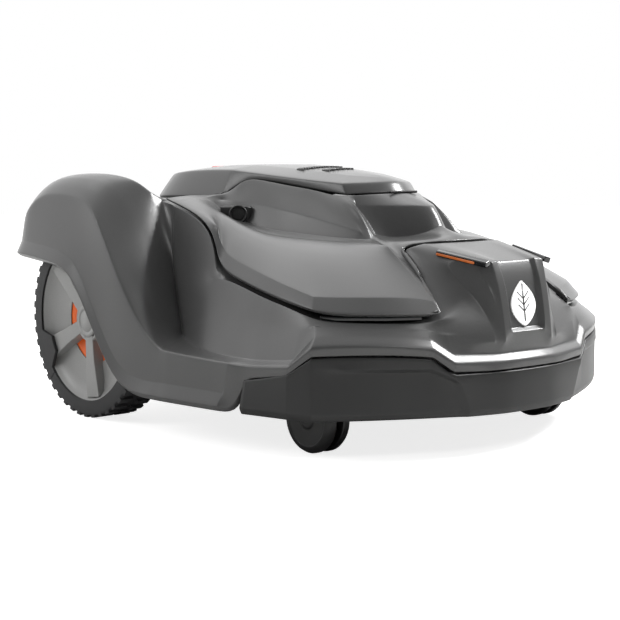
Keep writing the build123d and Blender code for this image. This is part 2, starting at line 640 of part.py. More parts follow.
def rim():
    """Barrel, five broad spokes that widen towards the barrel, and the hub."""
    barrel = turned([(RIM_BACK, RIM_R - 5), (RIM_FACE, RIM_R - 5), (RIM_FACE, RIM_R), (RIM_BACK, RIM_R)],
                    AXLE_Y, AXLE_Z)
    web = across(WEB_IN, WEB_OUT, AXLE_Y, AXLE_Z, RIM_R - 4)
    for k in range(SPOKES):
        inner, outer = HUB_R + 12, RIM_R - 12
        window = [(7, inner), (15, outer - 6), (9, outer), (-9, outer), (-15, outer - 6), (-7, inner)]
        cutter = Plane((WEB_IN - 1, AXLE_Y, AXLE_Z), x_dir=(0, 1, 0), z_dir=(1, 0, 0))
        hole = extrude(make_face(Polyline(*[(u, v) for u, v in window], close=True)), WEB_OUT - WEB_IN + 2)
        web -= cutter * (Rot(0, 0, 360 / SPOKES * k) * hole)
    hub = across(WEB_IN - 14, WEB_OUT, AXLE_Y, AXLE_Z, HUB_R)
    return barrel + web + hub - across(WEB_IN - 15, WEB_OUT + 1, AXLE_Y, AXLE_Z, SHAFT_R)


def wheel_disc():
    """The coloured disc that shows between the spokes."""
    disc = across(WEB_IN - 3, WEB_IN, AXLE_Y, AXLE_Z, RIM_R - 6)
    return disc - across(WEB_IN - 4, WEB_IN + 1, AXLE_Y, AXLE_Z, HUB_R)


sided("tyre", tyre())
sided("rim", rim())
sided("wheel_disc", wheel_disc())
sided("hub_cap", across(WEB_OUT, WEB_OUT + CAP_THICK, AXLE_Y, AXLE_Z, CAP_R))
sided("wheel_shaft", across(TUB_HALF - TUB_WALL - 40, WEB_OUT, AXLE_Y, AXLE_Z, SHAFT_R))

# ---- casters: a swivelling arm between two wheel halves on one axle ----

ARM_HALF = 3.0
ARM_FLANGE_LOW = BOSS_LOW - 10.0


def caster_arm():
    arm = post(SWIVEL_X, SWIVEL_Y, ARM_FLANGE_LOW, BOSS_HIGH + 4, STEM_R)
    arm += post(SWIVEL_X, SWIVEL_Y, ARM_FLANGE_LOW, BOSS_LOW - FREE, STEM_R + 6)
    web = [
        (SWIVEL_Y - 11, ARM_FLANGE_LOW + 1), (SWIVEL_Y + 11, ARM_FLANGE_LOW + 1),
        (CASTER_Y + 9, CASTER_R), (CASTER_Y - 9, CASTER_R),
    ]
    arm += plate(web, SWIVEL_X - ARM_HALF, SWIVEL_X + ARM_HALF)
    arm += across(SWIVEL_X - ARM_HALF, SWIVEL_X + ARM_HALF, CASTER_Y, CASTER_R, 9)
    return arm - across(SWIVEL_X - ARM_HALF - 1, SWIVEL_X + ARM_HALF + 1, CASTER_Y, CASTER_R, AXLE_R + RUNNING)


def caster_wheel():
    """Two round-edged halves with the arm's slot between them."""
    halves = []
    for side in (-1, 1):
        a, b = SWIVEL_X + side * CASTER_SLOT / 2, SWIVEL_X + side * CASTER_WIDTH / 2
        r = CASTER_R
        profile = [(a, AXLE_R), (b, AXLE_R), (b, r - 5), (b - side * 1.5, r - 1.5), (b - side * 5, r), (a, r)]
        halves.append(turned(profile, CASTER_Y, CASTER_R))
    return Compound(children=halves)


sided("caster_arm", caster_arm())
sided("caster_wheel", caster_wheel())
sided("caster_axle", across(SWIVEL_X - CASTER_WIDTH / 2, SWIVEL_X + CASTER_WIDTH / 2,
                            CASTER_Y, CASTER_R, AXLE_R))

# ---- cutting deck ----

DECK_Z = TUB_BOTTOM + 25.0
DECK_THICK = 8.0
CUT_MOTOR_LOW = DECK_Z - 42.0
CUT_MOTOR_TOP = DECK_Z + 28.0
CUT_SHAFT_R = 5.0
LEAD_PLACE = DISC_Y + LEAD_Y
SKID_HUB_R = 14.0
SHAFT_END = SKID_LOW + 1.5
DISC_HUB_R = 15.0
DISC_HUB_TOP = DISC_Z + 20.0
BLADE_BORE = 2.6
BLADE_Z = DISC_Z - 1.2
SCREW_HEAD_R = 5.0
SCREW_HEAD_THICK = 2.2


def guide_posts():
    """Two posts whose shoulders carry the deck at its lowest cut."""
    return Compound(children=[
        post(side * POST_X, DISC_Y, FLOOR, DECK_Z, POST_R + 4)
        + post(side * POST_X, DISC_Y, FLOOR, DECK_Z + DECK_TRAVEL + 30, POST_R) for side in (-1, 1)])


def cutting_carriage():
    half = POST_X + 14
    deck = box(-half, half, DISC_Y - CUT_MOTOR_R - 8, LEAD_PLACE + 14, DECK_Z, DECK_Z + DECK_THICK)
    deck += post(0, LEAD_PLACE, DECK_Z, DECK_Z + 20, LEAD_R + 5)
    deck -= post(0, DISC_Y, DECK_Z - 1, DECK_Z + DECK_THICK + 1, CUT_MOTOR_R)
    for side in (-1, 1):
        deck += post(side * POST_X, DISC_Y, DECK_Z, DECK_Z + 24, POST_R + 5)
        deck -= post(side * POST_X, DISC_Y, DECK_Z - 1, DECK_Z + 25, POST_R + RUNNING)
    return deck - post(0, LEAD_PLACE, DECK_Z - 1, DECK_Z + 21, LEAD_R)


def skid_plate():
    """A shallow dish that turns freely on the shaft and keeps the blades off the roots."""
    dish = post(0, DISC_Y, SKID_LOW, SKID_LOW + 2.5, SKID_R)
    dish += post(0, DISC_Y, SKID_LOW, SKID_LOW + 8, SKID_HUB_R)
    return dish - post(0, DISC_Y, SHAFT_END, SKID_LOW + 9, CUT_SHAFT_R + RUNNING)


def blade(k):
    """A thin two-edged blade, pivoted on the disc and trailing outwards."""
    angle = math.radians(90 + 120 * k)
    x, y = BLADE_PIVOT_R * math.cos(angle), DISC_Y + BLADE_PIVOT_R * math.sin(angle)
    body = Pos(BLADE_LENGTH / 2 - 6, 0, 0) * Box(BLADE_LENGTH, BLADE_WIDTH, BLADE_THICK)
    body -= Cylinder(BLADE_BORE, 4)
    return Pos(x, y, BLADE_Z) * Rot(0, 0, math.degrees(angle)) * body


PIVOTS = [(BLADE_PIVOT_R * math.cos(math.radians(90 + 120 * k)),
           DISC_Y + BLADE_PIVOT_R * math.sin(math.radians(90 + 120 * k))) for k in range(3)]
disc = post(0, DISC_Y, DISC_Z, DISC_Z + DISC_THICK, DISC_R) + post(0, DISC_Y, DISC_Z, DISC_HUB_TOP, DISC_HUB_R)
disc -= post(0, DISC_Y, DISC_Z - 1, DISC_HUB_TOP + 1, CUT_SHAFT_R)
for x, y in PIVOTS:
    disc -= post(x, y, DISC_Z - 1, DISC_Z + DISC_THICK + 1, BLADE_BORE - RUNNING)

NODES["guide_posts"] = guide_posts()
NODES["cutting_carriage"] = cutting_carriage()
NODES["cutting_motor"] = (post(0, DISC_Y, CUT_MOTOR_LOW, CUT_MOTOR_TOP, CUT_MOTOR_R)
                          - post(0, DISC_Y, CUT_MOTOR_LOW - 1, CUT_MOTOR_LOW + 20, CUT_SHAFT_R + RUNNING))
NODES["height_motor"] = box(-HEIGHT_MOTOR_HALF[0], HEIGHT_MOTOR_HALF[0], LEAD_PLACE - HEIGHT_MOTOR_HALF[1],
                            LEAD_PLACE + HEIGHT_MOTOR_HALF[1], HEIGHT_MOTOR_LOW, HEIGHT_MOTOR_TOP)
NODES["height_screw"] = post(0, LEAD_PLACE, TUB_BOTTOM + 4, HEIGHT_MOTOR_LOW, LEAD_R - RUNNING)
NODES["cutting_shaft"] = post(0, DISC_Y, SHAFT_END + RUNNING, CUT_MOTOR_LOW + 19, CUT_SHAFT_R)
NODES["blade_disc"] = disc
NODES["skid_plate"] = skid_plate()
NODES["blade_screws"] = Compound(children=[
    post(x, y, BLADE_Z - BLADE_THICK, DISC_Z + DISC_THICK, BLADE_BORE - RUNNING)
    + post(x, y, BLADE_Z - BLADE_THICK - SCREW_HEAD_THICK, BLADE_Z - BLADE_THICK, SCREW_HEAD_R)
    for x, y in PIVOTS])
for k in range(3):
    NODES[f"blade_{k + 1}"] = blade(k)

# ---- hatch hinge, latch and STOP button ----

KNUCKLE_R = 3.5
KNUCKLE_HALF = 10.0
KNUCKLE_END = 22.0
KNUCKLE_GAP = 0.4
CUP_LOW = STOP_LOW - 14
CUP_TOP = STOP_LOW + 9
CUP_FLOOR = 3.0
CUP_GAP = 5.0
STOP_FLANGE = 4.0
HOOK_HALF = 8.0
HOOK_Y = 258.0 * LONG
HOOK_THICK = 3.0
HOOK_LOW = 264.0 * HIGH
HOOK_HIGH = 290.0 * HIGH


def hinge_bar(x0, x1, r):
    return across(x0, x1, HINGE_Y, HINGE_Z, r)


def fitted_lid(lid):
    """The lid with its STOP hole and cup, the middle hinge knuckle and the latch hook."""
    inner = STOP_R + CUP_GAP
    cup = post(0, STOP_Y, CUP_LOW, CUP_TOP, inner + HATCH_WALL)
    cup -= post(0, STOP_Y, CUP_LOW + CUP_FLOOR, CUP_TOP + 1, inner)
    lid -= post(0, STOP_Y, STOP_LOW - 8, STOP_TOP + 16, STOP_R + FREE)
    for side in (-1, 1):
        lid -= hinge_bar(side * (KNUCKLE_HALF + KNUCKLE_GAP), side * (KNUCKLE_END + KNUCKLE_GAP),
                         KNUCKLE_R + FREE)
    lid += hinge_bar(-KNUCKLE_HALF, KNUCKLE_HALF, KNUCKLE_R) + cup
    lid += box(-HOOK_HALF, HOOK_HALF, HOOK_Y, HOOK_Y + HOOK_THICK, HOOK_LOW, HOOK_HIGH)
    return lid - hinge_bar(-KNUCKLE_END - 2, KNUCKLE_END + 2, HINGE_R + RUNNING)


def fitted_cover(cover):
    """The cover with its two outer hinge knuckles."""
    for side in (-1, 1):
        cover += hinge_bar(side * (KNUCKLE_HALF + 2 * KNUCKLE_GAP), side * KNUCKLE_END, KNUCKLE_R)
    cover -= hinge_bar(-KNUCKLE_HALF - KNUCKLE_GAP, KNUCKLE_HALF + KNUCKLE_GAP, KNUCKLE_R + FREE)
    return cover - hinge_bar(-KNUCKLE_END - 2, KNUCKLE_END + 2, HINGE_R + RUNNING)


NODES["hatch_lid"] = fitted_lid(NODES["hatch_lid"])
NODES["top_cover"] = fitted_cover(NODES["top_cover"])
NODES["hatch_hinge_pin"] = hinge_bar(-KNUCKLE_END, KNUCKLE_END, HINGE_R)
NODES["stop_button"] = (post(0, STOP_Y, STOP_LOW, STOP_TOP, STOP_R)
                        + post(0, STOP_Y, STOP_LOW, STOP_LOW + 3, STOP_R + STOP_FLANGE))

# ---- lamps, sensors and emblem, fixed to the shell and the cover ----

LENS_PLAN = [
    (122, -290), (156, -270), (194, -234), (201, -216), (194, -213), (188, -230), (152, -264), (118, -284),
]
SENSOR_PLAN = [(112, 14), (127, 22), (123, 56), (114, 54)]
EMBLEM_SIDE = [(-336.8, 144), (-328, 187), (-330, 187), (-338.8, 144)]
EMBLEM_HALF = 18.0


def on_body(points):
    return [(x * WIDE, y * LONG) for x, y in points]


def two(points, z0, z1):
    shape = slab(on_body(points), z0, z1)
    return Compound(children=[shape, mirrored(shape)])


NODES["headlights"] = two(LENS_PLAN, 151.4 * HIGH, 156 * HIGH)
NODES["ultrasonic_sensors"] = two(SENSOR_PLAN, 258 * HIGH, 270 * HIGH)
NODES["nose_emblem"] = plate([(y * LONG, z * HIGH) for y, z in EMBLEM_SIDE], -EMBLEM_HALF, EMBLEM_HALF)

os.makedirs("parts", exist_ok=True)
for name, solid in NODES.items():
    solid.label = name
    export_step(solid, f"parts/{name}.step")
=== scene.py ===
import math

import bmesh
import bpy
from mathutils import Matrix, Vector
from mathutils.bvhtree import BVHTree


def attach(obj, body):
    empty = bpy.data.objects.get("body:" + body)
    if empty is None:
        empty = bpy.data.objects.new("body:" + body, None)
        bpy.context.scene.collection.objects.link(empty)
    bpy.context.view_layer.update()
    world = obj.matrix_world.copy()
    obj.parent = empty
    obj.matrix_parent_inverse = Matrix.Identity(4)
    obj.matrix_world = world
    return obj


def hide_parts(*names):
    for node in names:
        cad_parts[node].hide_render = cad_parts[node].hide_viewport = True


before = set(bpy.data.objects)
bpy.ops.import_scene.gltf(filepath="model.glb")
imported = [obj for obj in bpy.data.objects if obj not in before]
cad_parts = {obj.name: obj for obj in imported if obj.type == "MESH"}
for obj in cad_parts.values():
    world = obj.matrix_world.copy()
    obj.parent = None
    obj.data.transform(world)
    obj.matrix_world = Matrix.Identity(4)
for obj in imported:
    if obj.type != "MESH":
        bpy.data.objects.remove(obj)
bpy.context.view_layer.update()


# ---- studio: the floor the mower stands on, soft light and the camera ----
# A seamless pale sweep, four soft boxes, and air that is bright behind the machine and dim before it.
# The camera stands low at the right front corner with a short telephoto lens.

def hex_linear(code):
    """The linear colour of an sRGB hex value such as 6E6F70."""
    parts = [int(code[i:i + 2], 16) / 255 for i in (0, 2, 4)]
    return [c / 12.92 if c <= 0.04045 else ((c + 0.055) / 1.055) ** 2.4 for c in parts] + [1.0]


def node(mat, kind, settings=None, **links):
    """Adds a node; each link, by input name or as i and its number, is a value or another node's output."""
    made = mat.node_tree.nodes.new(kind)
    for key, value in (settings or {}).items():
        setattr(made, key, value)
    for name, value in links.items():
        socket = made.inputs[int(name[1:]) if name[1:].isdigit() else name.replace("_", " ")]
        if isinstance(value, bpy.types.NodeSocket):
            mat.node_tree.links.new(value, socket)
        else:
            socket.default_value = value
    return made


def new_material(name):
    """A material and its surface shader."""
    mat = bpy.data.materials.new(name)
    mat.use_nodes = True
    return mat, mat.node_tree.nodes["Principled BSDF"]


def lit_panel(name, place, target, size, power):
    """A white rectangular soft box that looks at a target."""
    lamp = bpy.data.lights.new(name, "AREA")
    lamp.shape = "RECTANGLE"
    lamp.size, lamp.size_y = size
    lamp.energy = power
    holder = bpy.data.objects.new(name, lamp)
    holder.location = place
    holder.rotation_euler = (Vector(target) - Vector(place)).to_track_quat("-Z", "Y").to_euler()
    bpy.context.scene.collection.objects.link(holder)


FLOOR_HALF = 6.0
floor_mesh = bpy.data.meshes.new("floor")
floor_form = bmesh.new()
bmesh.ops.create_grid(floor_form, x_segments=2, y_segments=2, size=FLOOR_HALF)
floor_form.to_mesh(floor_mesh)
floor_form.free()
floor = bpy.data.objects.new("floor", floor_mesh)
bpy.context.scene.collection.objects.link(floor)
# Studio vinyl: a dead matt white that the eye takes for part of the background.
floor_mat, shader = new_material("pale_studio_vinyl")
shader.inputs["Base Color"].default_value = hex_linear("D8D8D7")
shader.inputs["Roughness"].default_value = 0.9
shader.inputs["Specular IOR Level"].default_value = 0.0
shader.inputs["Emission Color"].default_value = hex_linear("FFFFFF")
seen = node(floor_mat, "ShaderNodeLightPath").outputs["Is Camera Ray"]
lift = node(floor_mat, "ShaderNodeMapRange", Value=seen, To_Min=0.0, To_Max=0.80)
floor_mat.node_tree.links.new(lift.outputs["Result"], shader.inputs["Emission Strength"])
floor_mesh.materials.append(floor_mat)

BRIGHT_SIDE = (0.35, 0.90, 0.25)
world = bpy.data.worlds.new("studio_air")
bpy.context.scene.world = world
world.use_nodes = True
air = world.node_tree.nodes["Background"]
air.inputs["Color"].default_value = (1.0, 1.0, 1.0, 1.0)
toward = node(world, "ShaderNodeTexCoord").outputs["Generated"]
facing = node(world, "ShaderNodeVectorMath", {"operation": "DOT_PRODUCT"}, i0=toward, i1=BRIGHT_SIDE)
glow = node(world, "ShaderNodeMapRange", Value=facing.outputs["Value"], From_Min=-0.2, From_Max=1.0,
            To_Min=0.16, To_Max=1.8)
direct = node(world, "ShaderNodeLightPath").outputs["Is Camera Ray"]
level = node(world, "ShaderNodeMix", {"data_type": "FLOAT"}, i0=direct, i2=glow.outputs["Result"], i3=1.0)
world.node_tree.links.new(level.outputs[0], air.inputs["Strength"])
bpy.context.scene.view_settings.view_transform = "Standard"

lit_panel("key_softbox", (-2.6, 1.2, 2.0), (-0.1, 0.1, 0.15), (1.4, 1.4), 26)
lit_panel("top_softbox", (0.3, 1.3, 2.3), (0.0, 0.0, 0.2), (2.2, 1.2), 12)
lit_panel("far_softbox", (1.46, -0.91, 1.75), (-0.1, 0.0, 0.2), (0.7, 0.7), 82)
lit_panel("front_fill", (-0.2, -2.2, 2.0), (-0.1, 0.0, 0.2), (1.2, 0.6), 12)

CAMERA_AT, CAMERA_AIM = Vector((-1.27134, -1.45194, 0.33102)), Vector((-0.07548, -0.05215, 0.14076))
LENS, SENSOR, ROLL = 88.2, 36.0, math.radians(-0.25)
camera_data = bpy.data.cameras.new("camera")
camera_data.lens = LENS
camera_data.sensor_width = SENSOR
camera = bpy.data.objects.new("camera", camera_data)
camera.location = CAMERA_AT
level_view = (CAMERA_AIM - CAMERA_AT).to_track_quat("-Z", "Y").to_matrix()
camera.rotation_euler = (level_view @ Matrix.Rotation(ROLL, 3, "Z")).to_euler()
bpy.context.scene.collection.objects.link(camera)
bpy.context.scene.camera = camera


# ---- body shell: the big moulding with the nose, the side skirts and the two wheel fenders ----
# Injection-moulded ASA, dark granite grey, with a fine spark-eroded texture that breaks up its sheen.
# It is drawn as columns of points round the plan, skinned, rounded and given its 2.5 mm wall.

MM = 0.001

# Each column, for the half at x > 0 in mm: inner return, hem, edge, belt, ledge corner, side, seam line,
# crest, deck, hatch opening. The six columns of the nose also give the upper side, before the seam line.
HULL = [
    [(0, -330, 93), (0, -338, 94), (0, -343, 95), (0, -343, 104), (0, -335, 112), (0, -336, 134),
     (0, -331, 138), (0, -324, 188), (0, -313, 211), (0, -240, 229), (0, -226, 222)],
    [(25, -329, 93), (25, -337, 94), (25, -342, 95), (25, -342, 104), (25, -334, 112), (24, -336, 134),
     (24, -331, 138), (25, -324, 188), (26, -313, 211), (30, -240, 229), (28, -226, 222)],
    [(32, -328.5, 93), (32, -336, 94), (32, -341.5, 95), (32, -341, 104), (32, -333, 112), (28, -337, 133),
     (28, -337, 140), (29, -329, 189), (31, -317, 213), (38, -240, 229), (36, -226, 222)],
    [(42, -328, 93), (42, -335, 94), (42, -341, 95), (42, -340, 104), (42, -332, 112), (38, -338, 126),
     (38, -337, 138), (39, -330, 180), (42, -320, 211.5), (50, -240, 229), (46, -226, 222)],
    [(52, -326, 93), (52, -333.5, 94), (52, -339, 95), (52, -338, 104), (50, -330, 112.5), (44, -335, 122),
     (44, -334, 134), (47, -326, 176), (52, -302, 214), (60, -232, 229), (54, -218, 220)],
    [(62, -324, 93), (62, -332, 94), (62, -337, 95), (62, -336, 104), (60, -328, 113), (51, -334, 126),
     (51, -331, 140), (58, -310, 176), (70, -262, 212), (74, -222, 224.5), (64, -204, 215)],
    [(100, -312, 94), (102, -319, 95), (105, -325, 96), (105, -328, 105), (101, -320, 114),
     (104, -313, 134), (106, -307, 152), (89, -261, 187), (73, -209, 219), (63, -196, 211)],
    [(120, -303, 111), (123, -309, 112), (126, -314, 113), (126, -315, 122), (123, -307, 131),
     (123, -302, 140), (124, -297, 148), (116, -280, 146), (106, -255, 158), (92, -215, 185)],
    [(157, -285, 115), (161, -291, 116), (164, -296, 117), (165, -299, 127), (161, -290, 136),
     (160, -283, 143), (160, -276, 149), (150, -262, 147), (138, -240, 152), (124, -208, 172)],
    [(200, -252, 115), (205, -258, 116), (209, -262, 117), (212, -261, 128), (206, -252, 137),
     (203, -245, 144), (201, -238, 150), (190, -226, 148), (176, -206, 152), (158, -180, 172)],
    [(225, -233, 114), (231, -237, 115), (235, -240, 116), (236, -241, 126), (226, -235, 136),
     (217, -225, 145), (211, -215, 153), (198, -206, 151), (184, -192, 157), (166, -168, 178)],
    [(236, -209, 92), (242, -211, 93), (247, -213, 94), (248, -216, 104), (236, -214, 110),
     (222, -205, 138), (214, -195, 159), (206, -190, 156), (192, -180, 161), (170, -156, 182)],
    [(242, -164, 85), (249, -165, 86), (253, -166, 87), (254, -165, 100), (241, -163, 105),
     (225, -163, 138), (215, -162, 166), (207, -160, 162), (194, -154, 168), (174, -140, 186)],
    [(244, -151, 84), (251, -152, 85), (255, -152, 86), (256, -149, 100), (242, -148, 105),
     (225, -148, 139), (214, -149, 168), (206, -147, 164), (193, -142, 171), (174, -130, 189)],
    [(250, -132, 45), (256, -134, 45), (258, -135, 47), (259, -141, 100), (243, -140, 105),
     (225, -139, 140), (213, -138, 170), (205, -136, 166), (193, -132, 173), (173, -120, 191)],
    [(256, -116, 45), (262, -116, 44), (267, -115, 51), (262, -130, 101), (244, -130, 105),
     (225, -130, 140), (213, -128, 172), (205, -126, 168), (193, -122, 175), (173, -112, 193)],
    [(258, -98, 45), (264, -99, 44), (269, -99, 51), (263, -105, 101), (246, -105, 105), (226, -110, 142),
     (212, -114, 175), (204, -112, 171), (192, -106, 178), (172, -98, 196)],
    [(262, -55, 45), (268, -55, 44), (273, -55, 51), (268, -60, 103), (243, -65, 107), (222, -62, 145),
     (203, -55, 186), (195, -54, 182), (184, -50, 190), (168, -46, 206)],
    [(264, -35, 45), (270, -35, 44), (275, -35, 51), (269, -38, 104), (239, -44, 108), (219, -32, 150),
     (201, -22, 185), (197, -25, 196), (184, -22, 196), (166, -20, 214)],
    [(265, -22, 45), (271, -22, 44), (276, -22, 51), (270, -26, 105), (232, -18, 110), (212, 0, 152),
     (195, 8, 200), (192, -11, 236), (180, -10, 227), (160, -6, 230)],
    [(266, -10, 45), (272, -10, 44), (276, -10, 51), (270, -20, 105), (224, 4, 112), (206, 28, 155),
     (191, 45, 208), (187, 28, 257), (176, 27, 246), (158, 26, 244)],
    [(266, 5, 45), (272, 5, 44), (277, 5, 51), (270, -13, 106), (217, 14, 114), (201, 48, 157),
     (190, 70, 205), (181, 82, 267), (164, 86, 262), (128, 87, 263)],
    [(266, 12, 45), (272, 12, 44), (277, 12, 51), (270, -8, 107), (214, 20, 115), (198, 54, 157),
     (188, 77, 205), (179, 89, 269), (158, 90, 264), (122, 86, 264)],
    [(266, 40, 45), (272, 40, 44), (277, 40, 51), (272, 27, 130), (240, 41, 150), (212, 64, 187),
     (197, 86, 230), (178, 110, 272), (145, 97, 272), (97, 76, 272)],
    [(266, 86, 57), (272, 83, 57), (277, 79, 61), (274, 71, 185), (252, 78, 208), (228, 90, 234),
     (209, 103, 260), (193, 115, 285), (178, 120, 272), (96, 99, 273)],
    [(266, 134, 120), (272, 131, 121), (277, 127, 124), (268, 115, 239), (250, 120, 256), (231, 122, 275),
     (214, 126, 290), (203, 128, 299), (180, 137, 273), (95, 119, 273)],
    [(265, 163, 160), (271, 161, 162), (276, 158, 166), (262, 145, 267), (248, 148, 283), (233, 150, 295),
     (222, 151, 302), (210, 152, 305), (183, 157, 274), (95, 141, 273)],
    [(264, 191, 185), (270, 190, 187), (275, 189, 192), (258, 175, 278), (248, 177, 291), (238, 179, 300),
     (228, 180, 305), (216, 182, 308), (187, 185, 274), (95, 166, 273)],
    [(263, 245, 192), (269, 245, 194), (274, 245, 199), (257, 235, 282), (248, 234, 294), (238, 234, 302),
     (229, 234, 306), (220, 234, 307), (193, 235, 274), (95, 205, 273)],
    [(261, 300, 196), (267, 300, 198), (272, 300, 203), (257, 285, 277), (248, 285, 289), (240, 285, 295),
     (232, 285, 298), (223, 285, 298), (197, 283, 270), (93, 232, 273)],
    [(256, 322, 197), (262, 326, 198), (268, 328, 203), (262, 322, 238), (255, 325, 245), (248, 327, 250),
     (240, 328, 254), (230, 329, 256), (204, 318, 259), (86, 252, 272)],
    [(218, 324, 190), (220, 330, 191), (222, 334, 196), (220, 333, 226), (216, 333, 238), (210, 332, 246),
     (205, 331, 250), (198, 329, 253), (186, 320, 257), (70, 266, 271)],
    [(158, 330, 163), (159, 336, 164), (160, 340, 168), (160, 339, 216), (157, 338, 234), (153, 336, 243),
     (149, 334, 248), (144, 332, 251), (136, 322, 256), (44, 272, 270)],
    [(79, 334, 147), (80, 340, 148), (80, 344, 152), (80, 343, 212), (79, 342, 233), (77, 340, 242),
     (75, 338, 247), (72, 335, 250), (68, 324, 256), (20, 275, 270)],
    [(0, 335, 145), (0, 341, 146), (0, 345, 150), (0, 344, 212), (0, 343, 233), (0, 341, 242),
     (0, 339, 247), (0, 336, 250), (0, 325, 256), (0, 276, 270)],
]


def skin(form, columns):
    """Joins chains of points, given in mm, into one surface; returns the vertices by column and row."""
    grid = []
    for column in columns:
        chain = [form.verts.new(Vector(p) * MM) for p in column]
        for a, b in zip(chain, chain[1:]):
            form.edges.new((a, b))
        grid.append(chain)
    for left, right in zip(grid, grid[1:]):
        rails = [form.edges.get((a, b)) for chain in (left, right) for a, b in zip(chain, chain[1:])]
        bmesh.ops.bridge_loops(form, edges=rails)
    return grid


def round_edges(form, grid, rows=(), columns=()):
    """Marks edges for rounding; each mark is a row or column, its first and last point, and its share of
    the piece's largest radius."""
    weights = form.edges.layers.float
    layer = weights.get("bevel_weight_edge") or weights.new("bevel_weight_edge")
    marks = [((i, row), (i + 1, row), share) for row, first, last, share in rows for i in range(first, last)]
    marks += [((col, k), (col, k + 1), share) for col, first, last, share in columns
              for k in range(first, last)]
    for (i, j), (k, m), share in marks:
        edge = form.edges.get((grid[i][j], grid[k][m]))
        edge[layer] = max(edge[layer], share)


def finished(form, name, body, mat, replaced=()):
    """Turns a form into a piece that rides on a body and stands for the nodes it replaces."""
    mesh = bpy.data.meshes.new(name)
    form.to_mesh(mesh)
    form.free()
    mesh.materials.append(mat)
    mesh.polygons.foreach_set("use_smooth", [True] * len(mesh.polygons))
    piece = bpy.data.objects.new(name, mesh)
    bpy.context.scene.collection.objects.link(piece)
    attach(piece, body)
    if replaced:
        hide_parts(*replaced)
    return piece


def moulded_panel(piece, radius, wall):
    """Mirrors a half panel, rounds its marked edges, smooths it and gives it an even wall."""
    flip = piece.modifiers.new("both_sides", "MIRROR")
    flip.use_clip = True
    flip.merge_threshold = 0.0005
    soften = piece.modifiers.new("rounded_edges", "BEVEL")
    soften.limit_method = "WEIGHT"
    soften.width = radius * MM
    soften.segments = 2
    soften.profile = 0.5
    soften.use_clamp_overlap = True
    smoothing = piece.modifiers.new("smooth", "SUBSURF")
    smoothing.levels = 2
    smoothing.render_levels = 2
    thick = piece.modifiers.new("wall", "SOLIDIFY")
    thick.thickness = wall * MM
    thick.offset = -1.0
    thick.use_even_offset = False


def two_tone(name, dark, light, scale, detail, gloss=(), relief=(), fineness=0.5, stretch=None, **fixed):
    """A finish that drifts between two tones in a pattern of so many waves a metre.

    gloss is the least and most roughness, relief is bump strength and depth in metres. Each may add the scale
    and detail of a pattern of its own. The rest are the shader's fixed sockets.
    """
    mat, shader = new_material(name)
    where = node(mat, "ShaderNodeTexCoord").outputs["Object"]
    if stretch:
        where = node(mat, "ShaderNodeMapping", Vector=where, Scale=stretch).outputs["Vector"]
    tones = node(mat, "ShaderNodeTexNoise", Vector=where, Scale=scale, Detail=detail, Roughness=fineness)
    tone = node(mat, "ShaderNodeMix", {"data_type": "RGBA"}, Factor=tones.outputs["Fac"], i6=hex_linear(dark),
                i7=hex_linear(light))
    mat.node_tree.links.new(tone.outputs[2], shader.inputs["Base Color"])
    for extent, kind, source, ends, out, into in (
            (gloss, "ShaderNodeMapRange", "Value", ("To_Min", "To_Max"), "Result", "Roughness"),
            (relief, "ShaderNodeBump", "Height", ("Strength", "Distance"), "Normal", "Normal")):
        if extent:
            own = node(mat, "ShaderNodeTexNoise", Vector=where, Scale=extent[2], Detail=extent[3]
                       ) if len(extent) > 2 else tones
            made = node(mat, kind, **{source: own.outputs["Fac"], ends[0]: extent[0], ends[1]: extent[1]})
            mat.node_tree.links.new(made.outputs[out], shader.inputs[into])
    for socket, value in fixed.items():
        shader.inputs[socket.replace("_", " ")].default_value = value
    return mat


# Textured ASA: a dark grey body colour, a fine grain about 0.8 mm across that scatters the highlights, drawn
# a little coarser than the real 0.2 mm so that it shows, and a slight waviness in gloss from the moulding.
granite_asa = two_tone("granite_grey_textured_asa", "3C3C3C", "4C4C4C", 1300.0, 2.0, (0.27, 0.36, 9.0, 2.0),
                       (0.16, 0.0003), fineness=0.6, IOR=1.53)

# The lip above the hem is 16 mm tall and flares 4 mm round the wheel arch.
ARCH_LIP, ARCH_FLARE, ARCH_X, ARCH_Y = 16.0, 4.0, 262.0, -120.0
UPPER_SHARE = 0.28


def full_column(column):
    """Adds the crease above the flared lip and, where it isn't given, the point above the side."""
    edge, belt = Vector(column[2]), Vector(column[3])
    crease = edge.lerp(belt, min(0.5, ARCH_LIP / (belt - edge).length))
    if edge.x > ARCH_X and edge.y > ARCH_Y:
        crease.x -= ARCH_FLARE
    upper = []
    if len(column) == 10:
        upper = [tuple(round(a + (b - a) * UPPER_SHARE, 1) for a, b in zip(column[5], column[6]))]
    return column[:3] + [tuple(crease)] + column[3:6] + upper + column[6:]


